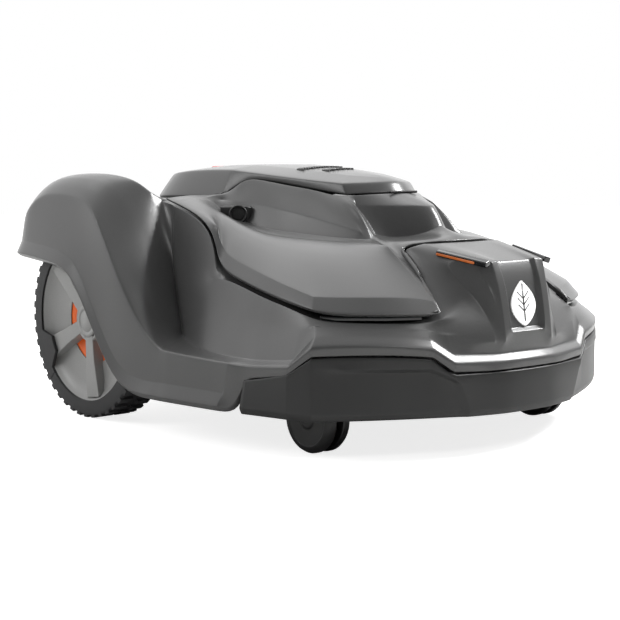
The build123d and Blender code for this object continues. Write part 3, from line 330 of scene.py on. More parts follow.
HEM, EDGE, LIP, BELT, LEDGE, SIDE, UPPER, SEAM, CREST, DECK = range(1, 11)
NOSE_END, WEDGE, CREST_START, VALLEY, FENDER_END, TAIL = 6, 15, 18, 21, 31, len(HULL) - 1
hull_form = bmesh.new()
hull = skin(hull_form, [full_column(column) for column in HULL])
round_edges(
    hull_form, hull,
    rows=[(BELT, 0, TAIL, 0.8), (LEDGE, 0, VALLEY + 2, 0.7), (EDGE, 0, TAIL, 0.35),
          (LIP, WEDGE, FENDER_END, 0.3), (SEAM, NOSE_END, CREST_START, 0.3),
          (CREST, CREST_START, VALLEY + 2, 0.3), (CREST, 0, NOSE_END - 1, 0.5), (DECK, 0, NOSE_END + 1, 0.5),
          (CREST, VALLEY + 3, TAIL, 1.0), (DECK, VALLEY + 3, TAIL, 1.0), (SIDE, 0, 2, 0.2),
          (UPPER, 0, 2, 0.2)],
    columns=[(1, SIDE, CREST, 0.25), (2, SIDE, CREST, 0.25), (3, SIDE, CREST, 0.4), (4, SEAM, DECK, 0.4),
             (5, SIDE, CREST, 0.3), (VALLEY, LEDGE, CREST, 0.3), (VALLEY + 1, LEDGE, CREST, 0.3),
             (WEDGE, EDGE, BELT, 0.3)] + [(corner, HEM, SIDE, 0.7) for corner in (6, 7, 10, 11)])
bmesh.ops.recalc_face_normals(hull_form, faces=hull_form.faces)
body_panel = finished(hull_form, "body_panel", "shell", granite_asa, ["body_shell"])
moulded_panel(body_panel, 5.0, 2.5)


# ---- bumper: a soft black moulding clipped over the front of the skirt ----
# It is a tough, matt thermoplastic elastomer; the nose part stands slightly proud of two sunken flanks.

# Each column, for x > 0 in mm: lip, top, shelf, sunken face, low edge, hem, inner hem.
BUMPER = [
    [(0, -338, 93.5), (0, -343.3, 93), (0, -344, 84), (0, -344.3, 80), (0, -345, 53), (0, -341, 45),
     (0, -337, 46)],
    [(26, -337, 93.5), (26, -342.3, 93), (26, -343, 84), (26, -343.3, 80), (26, -344, 53), (26, -340, 45),
     (26, -336, 46)],
    [(40, -335, 93.5), (40, -340.4, 93), (40, -341.4, 84), (40, -342, 80), (40, -343, 53), (40, -339, 45),
     (40, -335, 46)],
    [(62, -331, 93.5), (62, -336.4, 93), (62, -337, 84), (62, -337.3, 80), (62, -338, 53), (61, -334, 45),
     (60, -330, 46)],
    [(101, -323, 94), (104, -327.3, 93.5), (101, -328.6, 86), (98, -329.3, 82), (86, -331.2, 53),
     (85, -327, 45), (84, -323, 46)],
    [(109, -318, 98), (112, -322.6, 97.5), (109, -324.2, 91), (104, -322.4, 85), (93, -324.6, 53),
     (92, -321, 45), (90, -317, 46)],
    [(126, -309, 111.5), (128, -314, 111), (128, -313.7, 101), (126, -309.5, 96), (126, -308.5, 53),
     (125, -305, 45), (123, -301, 46)],
    [(162, -293, 115.5), (165, -298, 115), (165, -296.7, 102), (163.5, -291.7, 97.5), (163.5, -290, 53),
     (162, -286, 45), (160, -282, 46)],
    [(207, -258, 116), (211, -262, 115.5), (210, -263, 102), (208, -262, 98), (207, -264, 53),
     (205.5, -261, 45), (204, -259.5, 46)],
    [(231, -237, 114.5), (236, -240.7, 114), (236, -240.5, 102), (236, -240.3, 98), (236, -240, 53),
     (233, -239, 45), (231.5, -238, 46)],
    [(242, -213, 96), (247.5, -214.5, 95.5), (247.5, -214, 88), (247.4, -213.5, 84), (247, -212, 53),
     (244, -211.5, 45), (242.5, -211, 46)],
    [(249, -165, 86), (254.5, -165, 85.5), (255, -165, 80), (255.3, -165, 76), (257, -165, 53),
     (253, -165, 45), (249, -165, 46)],
    [(251, -152, 84.5), (256.5, -152, 84), (257, -151.4, 80), (257.6, -151, 76), (261, -148.6, 53),
     (257, -148, 45), (253, -148, 46)],
]

# Moulded black elastomer: deep charcoal, silky, with a very fine grain and faint flow marks in its gloss.
bumper_tpe = two_tone("charcoal_moulded_elastomer", "0F0F0F", "171717", 1600.0, 2.0, (0.40, 0.50, 14.0, 3.0),
                      (0.12, 0.0003), IOR=1.50)

bumper_form = bmesh.new()
bumper = skin(bumper_form, BUMPER)
END = len(BUMPER) - 1
round_edges(bumper_form, bumper,
            rows=[(row, 0, END, 0.7) for row in (1, 4, 5)] + [(row, 4, 8, 0.3) for row in (2, 3)],
            columns=[(corner, 0, 5, 0.5) for corner in (4, 5, 6, 9, 10)])
bmesh.ops.recalc_face_normals(bumper_form, faces=bumper_form.faces)
bumper_panel = finished(bumper_form, "bumper_moulding", "shell", bumper_tpe, ["front_bumper"])
moulded_panel(bumper_panel, 2.4, 3.0)


# ---- top cover: the horseshoe round the hatch, with the sensor troughs and the scoop before the hatch ----
# Moulded in the same textured grey ASA as the body, which it meets at a narrow dark seam.

# Each column, for x > 0 in mm: edge, bevel, crown, trough lip, trough floor, ridge, slope, hatch edge,
# gutter.
COVER = [
    [(0, -238, 231), (0, -230, 236), (0, -220, 240), (0, -211, 244), (0, -202, 249), (0, -197, 258),
     (0, -188, 268), (0, -140, 283), (0, -130, 274)],
    [(16, -237, 231), (15, -228, 235), (15, -217, 236), (15, -206, 237), (15, -197, 239), (13, -188, 255),
     (12, -177, 269.5), (9, -138, 283), (8, -128, 274)],
    [(38, -235, 231), (36, -225, 234), (34, -208, 233), (32, -192, 232), (30, -178, 233), (30, -168, 252),
     (30, -158, 269), (24, -132, 283), (20, -122, 274)],
    [(58, -222, 229), (56, -212, 232), (52, -190, 231), (49, -174, 231), (45, -160, 232), (45, -147, 253),
     (45, -137, 269), (42, -122, 282), (36, -112, 273)],
    [(75, -207, 225), (71, -198, 230), (66, -181, 231), (62, -166, 232), (58, -150, 236), (58, -135, 254),
     (59, -116, 269), (54, -109, 281), (47, -101, 272.5)],
    [(83, -236, 209), (79, -223, 215), (74, -196, 226), (70, -172, 231), (68, -158, 235), (67, -138, 257),
     (66, -122, 270), (59, -101, 281), (51, -94, 272)],
    [(91, -262, 194), (87, -248, 200), (82, -205, 220), (76, -175, 229), (73, -161, 232), (71, -146, 250),
     (69, -124, 268), (61, -95, 280.5), (53, -90, 272)],
    [(106, -307, 158), (104, -296, 170), (90, -205, 226), (81, -172, 229.5), (78, -163, 231),
     (76, -154, 238), (71, -118, 266), (64, -90, 281), (56, -86, 272)],
    [(124, -299, 158), (119, -283, 174.5), (102, -185, 229), (88, -158, 229.5), (84, -154, 231),
     (80, -148, 240), (73, -108, 267), (66, -80, 282), (57, -78, 273)],
    [(160, -278, 159), (154, -266, 176), (122, -152, 232), (100, -134, 229), (91, -132, 232),
     (84, -134, 243), (76, -90, 269), (69, -65, 285), (60, -62, 275)],
    [(201, -241, 159), (191, -227, 175.5), (142, -124, 236), (116, -98, 230), (100, -100, 234),
     (90, -102, 250), (79, -62, 274), (72, -48, 288), (63, -46, 278)],
    [(212, -215, 163), (203, -207, 176), (147, -94, 240), (124, -62, 230), (106, -60, 236.5),
     (95, -60, 257.5), (83, -40, 278), (75, -32, 290), (66, -30, 280)],
    [(215, -162, 173), (206, -157, 187), (151, -64, 243), (131, -32, 231), (110, -34, 238),
     (99, -37, 261.5), (87, -15, 281), (79, -8, 293), (70, -7, 283)],
    [(211, -114, 182), (201, -110, 197), (151, -34, 248), (134, -6, 238), (113, -6, 241), (102, -3, 266),
     (91, 10, 285), (83, 18, 297), (74, 18, 287)],
    [(202, -55, 193), (193, -52, 208.5), (150, -1, 255), (137, 12, 246), (116, 8, 245), (105, 26, 270),
     (94, 35, 288), (87, 42, 300), (78, 42, 289)],
    [(196, -27, 204), (187, -24, 218), (149, 20, 261), (138, 32, 254), (120, 30, 250), (108, 42, 271),
     (97, 49, 285), (90, 54, 298), (80, 52, 286)],
    [(190, -12, 238), (182, -8, 245), (149, 42, 265), (140, 50, 261), (124, 50, 257), (111, 55, 272),
     (102, 58, 283), (94, 62, 294), (84, 58, 282)],
    [(182, 29, 259), (176, 34, 264), (150, 66, 272), (141, 68, 271), (126, 69, 268), (115, 70, 273),
     (108, 70, 279), (102, 70, 284), (91, 64, 275)],
    [(176, 106, 276), (170, 98, 277), (152, 93, 279), (142, 91, 279), (134, 88, 279), (124, 84, 279),
     (117, 81, 280), (110, 78, 280), (98, 70, 275)],
]

# The edge turns down and in by this much, to hide the wall's cut.
RETURN_IN, RETURN_DROP = 0.99, 3.0
cover_form = bmesh.new()
cover = skin(cover_form, [[(x * RETURN_IN, y * RETURN_IN, z - RETURN_DROP), (x, y, z)] + rest
                          for (x, y, z), *rest in COVER])
REAR = len(COVER) - 1
round_edges(cover_form, cover,
            rows=[(1, 0, REAR, 0.5), (2, 6, REAR - 2, 0.5), (4, 9, REAR - 1, 0.5), (5, 0, REAR - 1, 0.35),
                  (6, 8, REAR - 1, 0.5), (7, 0, 5, 0.9), (8, 0, REAR, 0.5)],
            columns=[(5, 4, 8, 0.5), (4, 4, 8, 0.3), (6, 3, 8, 0.5), (7, 1, 3, 0.5), (11, 1, 2, 0.6)])
bmesh.ops.recalc_face_normals(cover_form, faces=cover_form.faces)
cover_panel = finished(cover_form, "top_cover_moulding", "shell", granite_asa, ["top_cover"])
moulded_panel(cover_panel, 4.0, 2.5)


# ---- hatch: the lid over the console, hinged at the nose end ----
# A grey ASA moulding with a rounded crest, a shallow ridge, a hole for the STOP button and two rows of plain
# ribs for grip. Its edge drops into the gutter of the cover.

# Each column, for x > 0 in mm: tucked edge, lower edge, crest, shoulder, ridge.
LID = [
    [(0, -131, 281), (0, -135, 284), (0, -127, 297), (0, -110, 301), (0, -94, 304)],
    [(26, -121, 281), (27, -125, 284), (26, -115, 296), (15, -98, 302), (0, -82, 306)],
    [(56, -96, 279), (59, -99, 282), (57, -91, 295), (32, -74, 304), (0, -60, 309)],
    [(68, -32, 288), (72, -32, 291), (73, -28, 300), (40, -24, 309), (0, -28, 313)],
    [(80, 42, 298), (84, 42, 301), (84, 44, 307), (45, 46, 314), (0, 57, 317)],
    [(87, 62, 291), (91, 64, 295), (88, 64, 309), (46, 66, 315), (0, 74, 317)],
    [(103, 82, 275), (107, 82, 277), (90, 84, 311), (48, 86, 316), (0, 92, 317)],
    [(103, 157, 270), (107, 159, 277), (90, 153, 311), (48, 152, 316), (0, 151, 317)],
    [(101, 236, 264), (105, 240, 276), (88, 226, 305), (47, 216, 309), (0, 208, 311)],
    [(58, 260, 260), (60, 264, 274), (54, 246, 300), (29, 232, 305), (0, 222, 309)],
    [(0, 267, 260), (0, 271, 274), (0, 253, 300), (0, 242, 304), (0, 232, 308)],
]
STOP_Y, STOP_Z, STOP_R, HOLE_GAP = 196.0, 298.0, 30.0, 3.0


def spun(profile, centre, axis, steps=64, across=None):
    """A closed ring or disc: a profile of (along the axis, radius) points in mm, turned about the axis."""
    form = bmesh.new()
    axis = Vector(axis).normalized()
    across = (Vector(across) if across else axis.orthogonal()).normalized()
    middle = Vector(centre) * MM
    chain = [form.verts.new(middle + (axis * a + across * r) * MM) for a, r in profile]
    for a, b in zip(chain, chain[1:]):
        form.edges.new((a, b))
    bmesh.ops.spin(form, geom=form.verts[:] + form.edges[:], cent=middle, axis=axis, angle=math.tau,
                   steps=steps, use_merge=True)
    bmesh.ops.remove_doubles(form, verts=form.verts, dist=0.00001)
    bmesh.ops.recalc_face_normals(form, faces=form.faces)
    return form


def crisp(piece, radius, angle=35, segments=2):
    """Rounds a finished piece's sharp edges and keeps its flats flat."""
    soften = piece.modifiers.new("rounded_edges", "BEVEL")
    soften.limit_method = "ANGLE"
    soften.angle_limit = math.radians(angle)
    soften.width = radius * MM
    soften.segments = segments
    soften.profile = 0.5
    piece.modifiers.new("flats", "WEIGHTED_NORMAL").keep_sharp = True


lid_form = bmesh.new()
lid = skin(lid_form, LID)
LID_END = len(LID) - 1
round_edges(lid_form, lid, rows=[(1, 0, LID_END, 0.5), (2, 0, LID_END, 0.9), (3, 0, LID_END, 0.5)],
            columns=[(2, 1, 3, 0.8), (6, 1, 3, 0.6)])
bmesh.ops.recalc_face_normals(lid_form, faces=lid_form.faces)
lid_panel = finished(lid_form, "hatch_moulding", "hatch", granite_asa, ["hatch_lid"])
moulded_panel(lid_panel, 3.5, 3.0)

drill = bpy.data.meshes.new("drill")
HOLE_R = STOP_R + HOLE_GAP
drill_form = spun([(-14, 0), (-14, HOLE_R), (36, HOLE_R), (36, 0)], (0, STOP_Y, STOP_Z), (0, 0, 1), 72)
drill_form.to_mesh(drill)
drill_form.free()
drill_bit = bpy.data.objects.new("drill", drill)
bpy.context.scene.collection.objects.link(drill_bit)
opening = lid_panel.modifiers.new("stop_hole", "BOOLEAN")
opening.object = drill_bit
opening.operation = "DIFFERENCE"
opening.solver = "EXACT"
bpy.context.view_layer.update()
cut_mesh = bpy.data.meshes.new_from_object(lid_panel.evaluated_get(bpy.context.evaluated_depsgraph_get()))
lid_panel.modifiers.clear()
lid_panel.data = cut_mesh
bpy.data.objects.remove(drill_bit)

lid_surface = BVHTree.FromPolygons([v.co.copy() for v in cut_mesh.vertices],
                                   [p.vertices[:] for p in cut_mesh.polygons])
RIB_ROWS = ((2, -44, 20), (-30, -30, 12))
RIB_SIZE, RIB_PITCH, RIB_STEP, ABOVE = Vector((2.2, 13.0, 3.4)), 4, 1.4, 400
rib_form = bmesh.new()
for row_y, first, last in RIB_ROWS:
    for k in range(int((last - first) / RIB_PITCH) + 1):
        x, y = first + RIB_PITCH * k, row_y + (k % 2) * RIB_STEP
        top = lid_surface.ray_cast(Vector((x, y, ABOVE)) * MM, Vector((0, 0, -1)))[0]
        made = bmesh.ops.create_cube(rib_form, size=1.0)["verts"]
        bmesh.ops.scale(rib_form, vec=RIB_SIZE * MM, verts=made)
        bmesh.ops.translate(rib_form, vec=top, verts=made)
grip_ribs = finished(rib_form, "hatch_grip_ribs", "hatch", granite_asa)
crisp(grip_ribs, 0.6)


# ---- STOP button: a wide red push button in a dished black cup under the hatch's hole ----
# Glossy red ABS, dished for a palm; the cup is glass-filled nylon clipped to the lid from below.

# Red ABS, moulded glossy: saturated red with a soft skin of fine handling scratches in its gloss.
stop_abs = two_tone("signal_red_moulded_abs", "B01812", "C4231B", 60.0, 4.0, (0.22, 0.36), IOR=1.54)

button = finished(spun([(0, 0), (0, 33.6), (2.6, 33.6), (3.2, 29.8), (14.0, 29.6), (15.5, 28.6), (16.0, 26.5),
                        (15.2, 22.0), (13.4, 12.0), (12.6, 0)], (0, STOP_Y, STOP_Z), (0, 0, 1), 72),
                  "stop_push_button", "stop", stop_abs, ["stop_button"])
crisp(button, 0.5)
cup = finished(spun([(-13, 0), (-13, 37), (8, 37), (12.4, 36.4), (13.2, 35.2), (12.6, 32.6), (8.5, 32.2),
                     (8.0, 35), (-10, 35), (-10, 0)], (0, STOP_Y, STOP_Z), (0, 0, 1), 72),
               "stop_cup", "hatch", bumper_tpe)
crisp(cup, 0.5)


# ---- nose badge: a plain white leaf pressed into the recess of the nose ----
# White gloss ABS with a bevelled edge; its veins are thin grey inlays that stand a hair proud.

# White ABS, moulded glossy: clean warm white with a barely uneven gloss, and a painted glow from a faint
# white emission.
glowing_badge_abs = two_tone("white_gloss_abs_painted_glow", "F4F4F2", "FFFFFF", 120.0, 3.0, (0.25, 0.35), IOR=1.53,
                     Emission_Color=hex_linear("FFFFFF"), Emission_Strength=0.25)

BADGE_LOW, BADGE_HIGH = Vector((0, -331.2, 141)), Vector((0, -324.4, 187))
LEAF_HALF, LEAF_REACH, LEAF_THICK, VEIN_RISE = 20.0, 25.0, 1.6, 1.65
leaf_form = bmesh.new()
bmesh.ops.create_circle(leaf_form, cap_ends=True, radius=1.0, segments=40)
for vert in leaf_form.verts:
    along = vert.co.y
    taper = 1.0 - 0.45 * abs(along) ** 3 - (0.25 * along if along > 0 else 0.0)
    vert.co.x *= LEAF_HALF * max(taper, 0.05) * MM
    vert.co.y = along * LEAF_REACH * MM
leaf_face = leaf_form.faces[:]
bmesh.ops.inset_region(leaf_form, faces=leaf_face, thickness=0.9 * MM, depth=0.0)
risen = bmesh.ops.extrude_face_region(leaf_form, geom=leaf_face)
front = [v for v in risen["geom"] if isinstance(v, bmesh.types.BMVert)]
bmesh.ops.translate(leaf_form, vec=(0, 0, LEAF_THICK * MM), verts=front)
bmesh.ops.delete(leaf_form, geom=leaf_face, context="FACES_ONLY")
upright = (BADGE_HIGH - BADGE_LOW).normalized()
outward = Vector((1, 0, 0)).cross(upright)
stand = Matrix((Vector((1, 0, 0)), upright, outward)).transposed().to_4x4()
stand.translation = (BADGE_LOW + BADGE_HIGH) / 2 * MM
bmesh.ops.transform(leaf_form, matrix=stand, verts=leaf_form.verts)
bmesh.ops.recalc_face_normals(leaf_form, faces=leaf_form.faces)
leaf = finished(leaf_form, "nose_leaf_badge", "shell", glowing_badge_abs, ["nose_emblem"])
crisp(leaf, 0.5)

vein_form = bmesh.new()
VEINS = [((0, -20), (0, 22), 1.0)]
VEINS += [((0, y), (side * 9, y + 8), 0.6) for y in (-9, -2, 5) for side in (-1, 1)]
for (ax, ay), (bx, by), half in VEINS:
    made = bmesh.ops.create_cube(vein_form, size=1.0)["verts"]
    run = Vector((bx - ax, by - ay, 0))
    bmesh.ops.scale(vein_form, vec=Vector((2 * half, run.length, 0.5)) * MM, verts=made)
    bmesh.ops.rotate(vein_form, matrix=Matrix.Rotation(math.atan2(-run.x, run.y), 3, "Z"), verts=made)
    bmesh.ops.translate(vein_form, vec=Vector(((ax + bx) / 2, (ay + by) / 2, VEIN_RISE)) * MM, verts=made)
bmesh.ops.transform(vein_form, matrix=stand, verts=vein_form.verts)
veins = finished(vein_form, "nose_leaf_veins", "shell", granite_asa)


# ---- headlights: a smoked strip lens in the slot under each front edge of the cover ----
# Polycarbonate tinted dark grey, clipped into the slot from behind.

# Smoked polycarbonate: nearly black, very glossy, faintly uneven where it was polished in its mould.
smoked_pc = two_tone("smoked_polycarbonate", "141516", "1E2022", 40.0, 2.0, (0.06, 0.14), IOR=1.585)


def pair(make, name, body, mat, replaced=(), finish=None):
    """Makes a piece for x > 0 and its mirror image; {} in the body and node names takes left or right."""
    for side, flip in (("left", 1), ("right", -1)):
        form = make()
        if flip < 0:
            bmesh.ops.scale(form, vec=(-1, 1, 1), verts=form.verts)
            bmesh.ops.reverse_faces(form, faces=form.faces)
        made = finished(form, f"{name}_{side}", body.format(side), mat, [r.format(side) for r in replaced])
        if finish:
            finish(made)


def prism(plan, z0, z1):
    """An upright bar on a plan outline in mm."""
    form = bmesh.new()
    face = form.faces.new([form.verts.new(Vector((x, y, z0)) * MM) for x, y in plan])
    risen = bmesh.ops.extrude_face_region(form, geom=[face], use_keep_orig=True)
    tops = [v for v in risen["geom"] if isinstance(v, bmesh.types.BMVert)]
    bmesh.ops.translate(form, vec=(0, 0, (z1 - z0) * MM), verts=tops)
    bmesh.ops.recalc_face_normals(form, faces=form.faces)
    return form


LENS_PLAN = [(120, -291), (156, -272), (194, -236), (202, -216), (192, -212), (186, -228), (152, -262),
             (118, -283)]
LENS_Z = (150.6, 155.6)


def joined(forms):
    """Several forms as one."""
    whole = bmesh.new()
    for form in forms:
        part = bpy.data.meshes.new("part")
        form.to_mesh(part)
        form.free()
        whole.from_mesh(part)
        bpy.data.meshes.remove(part)
    bmesh.ops.recalc_face_normals(whole, faces=whole.faces)
    return whole


lens_pair = joined([prism([(flip * x, y) for x, y in LENS_PLAN], *LENS_Z) for flip in (1, -1)])
lenses = finished(lens_pair, "headlight_lenses", "shell", smoked_pc, ["headlights"])
crisp(lenses, 1.0)


# ---- marker lamps: an amber strip in a dark hood on each flank of the nose ----
# A black housing let into the top plate's edge; the strip is orange acrylic.

# Orange acrylic: a saturated, lightly diffusing strip.
amber_pmma = two_tone("amber_acrylic", "B85A22", "D9773A", 220.0, 2.0, Roughness=0.3, IOR=1.49)


def bar(a, b, up, width, height):
    """A straight bar between two points in mm, with its height along up."""
    form = bmesh.new()
    a, b, up = Vector(a), Vector(b), Vector(up)
    run = (b - a).normalized()
    side = run.cross(up).normalized()
    up = side.cross(run).normalized()
    made = bmesh.ops.create_cube(form, size=1.0)["verts"]
    bmesh.ops.scale(form, vec=Vector((width, (b - a).length, height)) * MM, verts=made)
    turn = Matrix((side, run, up)).transposed().to_4x4()
    turn.translation = (a + b) / 2 * MM
    bmesh.ops.transform(form, matrix=turn, verts=made)
    return form


pair(lambda: bar((63, -258, 220.5), (49, -321, 209.5), (0.3, 0, 1), 9, 6.5), "marker_lamp_hood", "shell",
     smoked_pc, finish=lambda piece: crisp(piece, 1.2))
pair(lambda: bar((66.5, -259, 219), (56.5, -307, 210.6), (0.3, 0, 1), 3.2, 2.8), "marker_lamp_strip", "shell",
     amber_pmma, finish=lambda piece: crisp(piece, 0.6))


# ---- ultrasonic sensors: one at the tail of each trough of the cover ----
# A black nylon housing with a round transducer behind a moulded ring, looking forwards and outwards.

LOOK, RING_AT = Vector((0.66, -0.72, 0.16)), (126, 23.5, 256.5)
HOUSING_PLAN = [(108, 16), (117, 16), (130, 30), (134, 50), (122, 60), (108, 60)]
pair(lambda: prism(HOUSING_PLAN, 244, 266.5), "sensor_housing", "shell", bumper_tpe,
     finish=lambda piece: crisp(piece, 2.5, segments=3))
RING = [(-6, 11.5), (2.0, 11.5), (3.0, 10.6), (2.6, 9.4), (0.6, 8.6), (0.4, 7.4), (1.4, 6.6), (1.7, 0)]
pair(lambda: spun(RING, RING_AT, LOOK, 40), "sensor_ring", "shell", bumper_tpe,
     finish=lambda piece: crisp(piece, 0.4))
for side in ("left", "right"):
    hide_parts("ultrasonic_sensors")


# ---- drive wheels: tyre ----
# Black rubber with chunky cleats, moulded round the rim; one keyed tab on its wall stops it creeping.

AXLE = (176.0, 122.0)
WALL_OUT, WALL_IN = 256.0, 206.0
TYRE_R, CARCASS_R, LUG_WIDE = 122.0, 117.4, 20.0
LUG_PITCH, LUG_SPAN, STAGGER = 8.0, 4.4, 5.0

# Moulded rubber: mid charcoal, matt and slightly dusty, with a fine grain.
tyre_rubber = two_tone("moulded_tyre_rubber", "2C2C2D", "363637", 26.0, 4.0,
                       relief=(0.25, 0.0004, 900.0, 3.0), Roughness=0.72, IOR=1.52)


def turned(profile, steps):
    """A form turned about the drive wheel's axle, from its inner wall outwards."""
    return spun(profile, (WALL_IN, *AXLE), (1, 0, 0), steps, (0, 0, 1))


def tyre_form():
    """A turned carcass whose tread faces are raised in staggered cleats."""
    wide = WALL_OUT - WALL_IN
    form = turned([(0, 100.5), (0, 115), (1.2, 118.4), (4, 120), (9, 118), (20, 117.6), (30, 117.6),
                   (41, 118), (wide - 4, 120), (wide - 1.2, 118.4), (wide, 115), (wide, 100.5)], 180)
    lugs = []
    for face in form.faces:
        middle = face.calc_center_median() / MM
        radius = math.hypot(middle.y - AXLE[0], middle.z - AXLE[1])
        turn = math.degrees(math.atan2(middle.z - AXLE[1], middle.y - AXLE[0])) % 360
        shift = STAGGER if middle.x > (WALL_IN + WALL_OUT) / 2 else 0.0
        edgeways = not WALL_IN + LUG_WIDE < middle.x < WALL_OUT - LUG_WIDE
        if radius > CARCASS_R and edgeways and (turn + shift) % LUG_PITCH < LUG_SPAN:
            lugs.append(face)
    risen = bmesh.ops.extrude_face_region(form, geom=lugs)
    tops = [v for v in risen["geom"] if isinstance(v, bmesh.types.BMVert)]
    for vert in tops:
        y, z = vert.co.y / MM - AXLE[0], vert.co.z / MM - AXLE[1]
        out = TYRE_R / math.hypot(y, z)
        vert.co.y, vert.co.z = (AXLE[0] + y * out) * MM, (AXLE[1] + z * out) * MM
    bmesh.ops.delete(form, geom=lugs, context="FACES_ONLY")
    bmesh.ops.recalc_face_normals(form, faces=form.faces)
    return form


pair(tyre_form, "tyre_moulding", "wheel_{}", tyre_rubber, ["tyre_{}"],
     lambda piece: crisp(piece, 0.5, 40))

KEY_ANGLE, TAB_IN, TAB_OUT, TAB_SPAN, TAB_THICK = 334.0, 80.0, 114.8, 19.5, 4.6
# The tab's foot is narrow and flares over this many degrees to the rim's edge, 20.6 mm further out.
FOOT_SPAN, FLARE_OUT = 7.5, 20.6


def fan(x, r0, r1, first, last, steps):
    """A ring sector on the wheel's face as a one-sided strip, from one angle to another in degrees."""
    form = bmesh.new()
    rows = []
    for k in range(steps + 1):
        turn = math.radians(first + (last - first) * k / steps)
        spoke = Vector((0, math.cos(turn), math.sin(turn)))
        rows.append([form.verts.new((Vector((x, *AXLE)) + spoke * r) * MM) for r in (r0, r1)])
    for a, b in zip(rows, rows[1:]):
        form.faces.new((a[0], b[0], b[1], a[1]))
    return form


def tab_form():
    """The keyed tab: a trapezoid plate of rubber on the tyre's wall that reaches in over the rim."""
    form = fan(WALL_OUT - 4, TAB_IN, TAB_OUT, KEY_ANGLE - TAB_SPAN, KEY_ANGLE + TAB_SPAN, 26)
    for vert in form.verts:
        y, z = vert.co.y / MM - AXLE[0], vert.co.z / MM - AXLE[1]
        off = (math.degrees(math.atan2(z, y)) % 360) - KEY_ANGLE
        if math.hypot(y, z) < (TAB_IN + TAB_OUT) / 2:
            flare = min(max((abs(off) - FOOT_SPAN) / FOOT_SPAN, 0.0), 1.0)
            grow = (TAB_IN + FLARE_OUT * flare) / math.hypot(y, z)
            vert.co.y, vert.co.z = (AXLE[0] + y * grow) * MM, (AXLE[1] + z * grow) * MM
    bmesh.ops.recalc_face_normals(form, faces=form.faces)
    risen = bmesh.ops.extrude_face_region(form, geom=form.faces[:], use_keep_orig=True)
    tops = [v for v in risen["geom"] if isinstance(v, bmesh.types.BMVert)]
    bmesh.ops.translate(form, vec=(TAB_THICK * MM, 0, 0), verts=tops)
    bmesh.ops.recalc_face_normals(form, faces=form.faces)
    return form


pair(tab_form, "tyre_key_tab", "wheel_{}", tyre_rubber,
     finish=lambda piece: crisp(piece, 0.6))


# ---- drive wheels: rim, coloured disc and cap ----
# Silver-painted nylon: a dished barrel, five broad spokes with deep pockets and a flat cap over the axle.

# Silver paint on nylon: pale grey with a satin metallic flake and a soft clear coat.
silver_paint = two_tone("silver_painted_nylon", "858584", "9C9C9B", 1800.0, 1.0, Metallic=0.15,
                        Roughness=0.42)

# Orange polypropylene: strong warm orange, satin, with slight flow marks.
orange_pp = two_tone("orange_polypropylene", "E05600", "F26A08", 45.0, 3.0, Roughness=0.4, IOR=1.49)

DISH = [(6, 102), (44.0, 102), (46.8, 101.6), (47.4, 100.6), (46.8, 99.2), (44, 97.4), (38.5, 91), (35.8, 80),
        (34.6, 66), (34.4, 54), (33.0, 53.4), (32.4, 60), (32, 86), (10, 97), (6, 98), (6, 102)]


def spokes_form():
    """Five tapered spokes standing up from the dish, and the hub they meet in."""
    form = turned([(22, 6), (22, 26), (41, 27), (43.5, 25.5), (43.5, 22.4), (41.5, 21.8), (41.5, 6),
                   (22, 6)], 60)
    for k in range(5):
        turn = math.radians(KEY_ANGLE + 72 * k)
        out, along = Vector((0, math.cos(turn), math.sin(turn))), Vector((0, -math.sin(turn), math.cos(turn)))
        centre = Vector((WALL_IN, *AXLE))
        stations = [(18, 27, 43.6, 8.0), (52, 30, 45.4, 9.5), (96.5, 33, 46.0, 14.0)]
        rings = []
        for r, low, high, half in stations:
            rings.append([form.verts.new((centre + out * r + along * s + Vector((h, 0, 0))) * MM)
                          for s, h in ((-half - 2.5, low), (-half, high), (half, high), (half + 2.5, low))])
        for a, b in zip(rings, rings[1:]):
            for i in range(4):
                j = (i + 1) % 4
                form.faces.new((a[i], a[j], b[j], b[i]))
        form.faces.new(rings[0][::-1])
        form.faces.new(rings[-1])
    bmesh.ops.recalc_face_normals(form, faces=form.faces)
    return form


pair(lambda: turned(DISH, 96), "rim_barrel", "wheel_{}", silver_paint, ["rim_{}"],
     lambda piece: crisp(piece, 0.4, 40))
pair(spokes_form, "rim_spokes", "wheel_{}", silver_paint,
     finish=lambda piece: crisp(piece, 1.4, 30, 3))
pair(lambda: turned([(30.4, 24), (32.6, 24), (32.6, 54), (32.0, 60), (30.2, 60), (30.4, 54), (30.4, 24)], 72),
     "orange_disc", "wheel_{}", orange_pp, ["wheel_disc_{}"])
CAP = [(41.6, 0), (41.6, 20.6), (44.4, 20.6), (45.4, 19.6), (45.5, 15.4), (44.6, 14.8), (44.6, 13.4),
       (45.5, 12.8), (45.7, 0)]
pair(lambda: turned(CAP, 64), "axle_cap", "wheel_{}", silver_paint, ["hub_cap_{}"])
# A near-black ring filling the joint between the rim's lip and the tyre: painted shade for the shadow inside
# the bead gap.
pair(lambda: turned([(40.0, 100.2), (48.2, 100.2), (48.2, 102.6), (40.0, 102.6), (40.0, 100.2)], 96),
     "bead_gap_shade_ring", "wheel_{}", bumper_tpe)


# ---- casters: two wheel halves either side of a swivelling arm ----
# Black nylon halves with a rounded tread, a shallow dished face and a small boss over the axle.

CASTER = (183.0, -190.0, 39.0)


CASTER_HALF = [(4.6, 0), (4.6, 37.5), (6.0, 39.0), (11.5, 38.9), (14.8, 37.0), (16.6, 33.2), (16.9, 30.6),
               (16.0, 29.6), (15.4, 14), (15.4, 11.6), (16.6, 10.8), (17.2, 8.6), (17.3, 0)]


def caster_form():
    """Both halves of the wheel, back to back."""
    return joined([spun([(flip * a, r) for a, r in CASTER_HALF], CASTER, (1, 0, 0), 64, (0, 0, 1))
                   for flip in (1, -1)])


pair(caster_form, "caster_roller", "caster_{}", bumper_tpe, ["caster_wheel_{}"],
     lambda piece: crisp(piece, 0.6, 40))


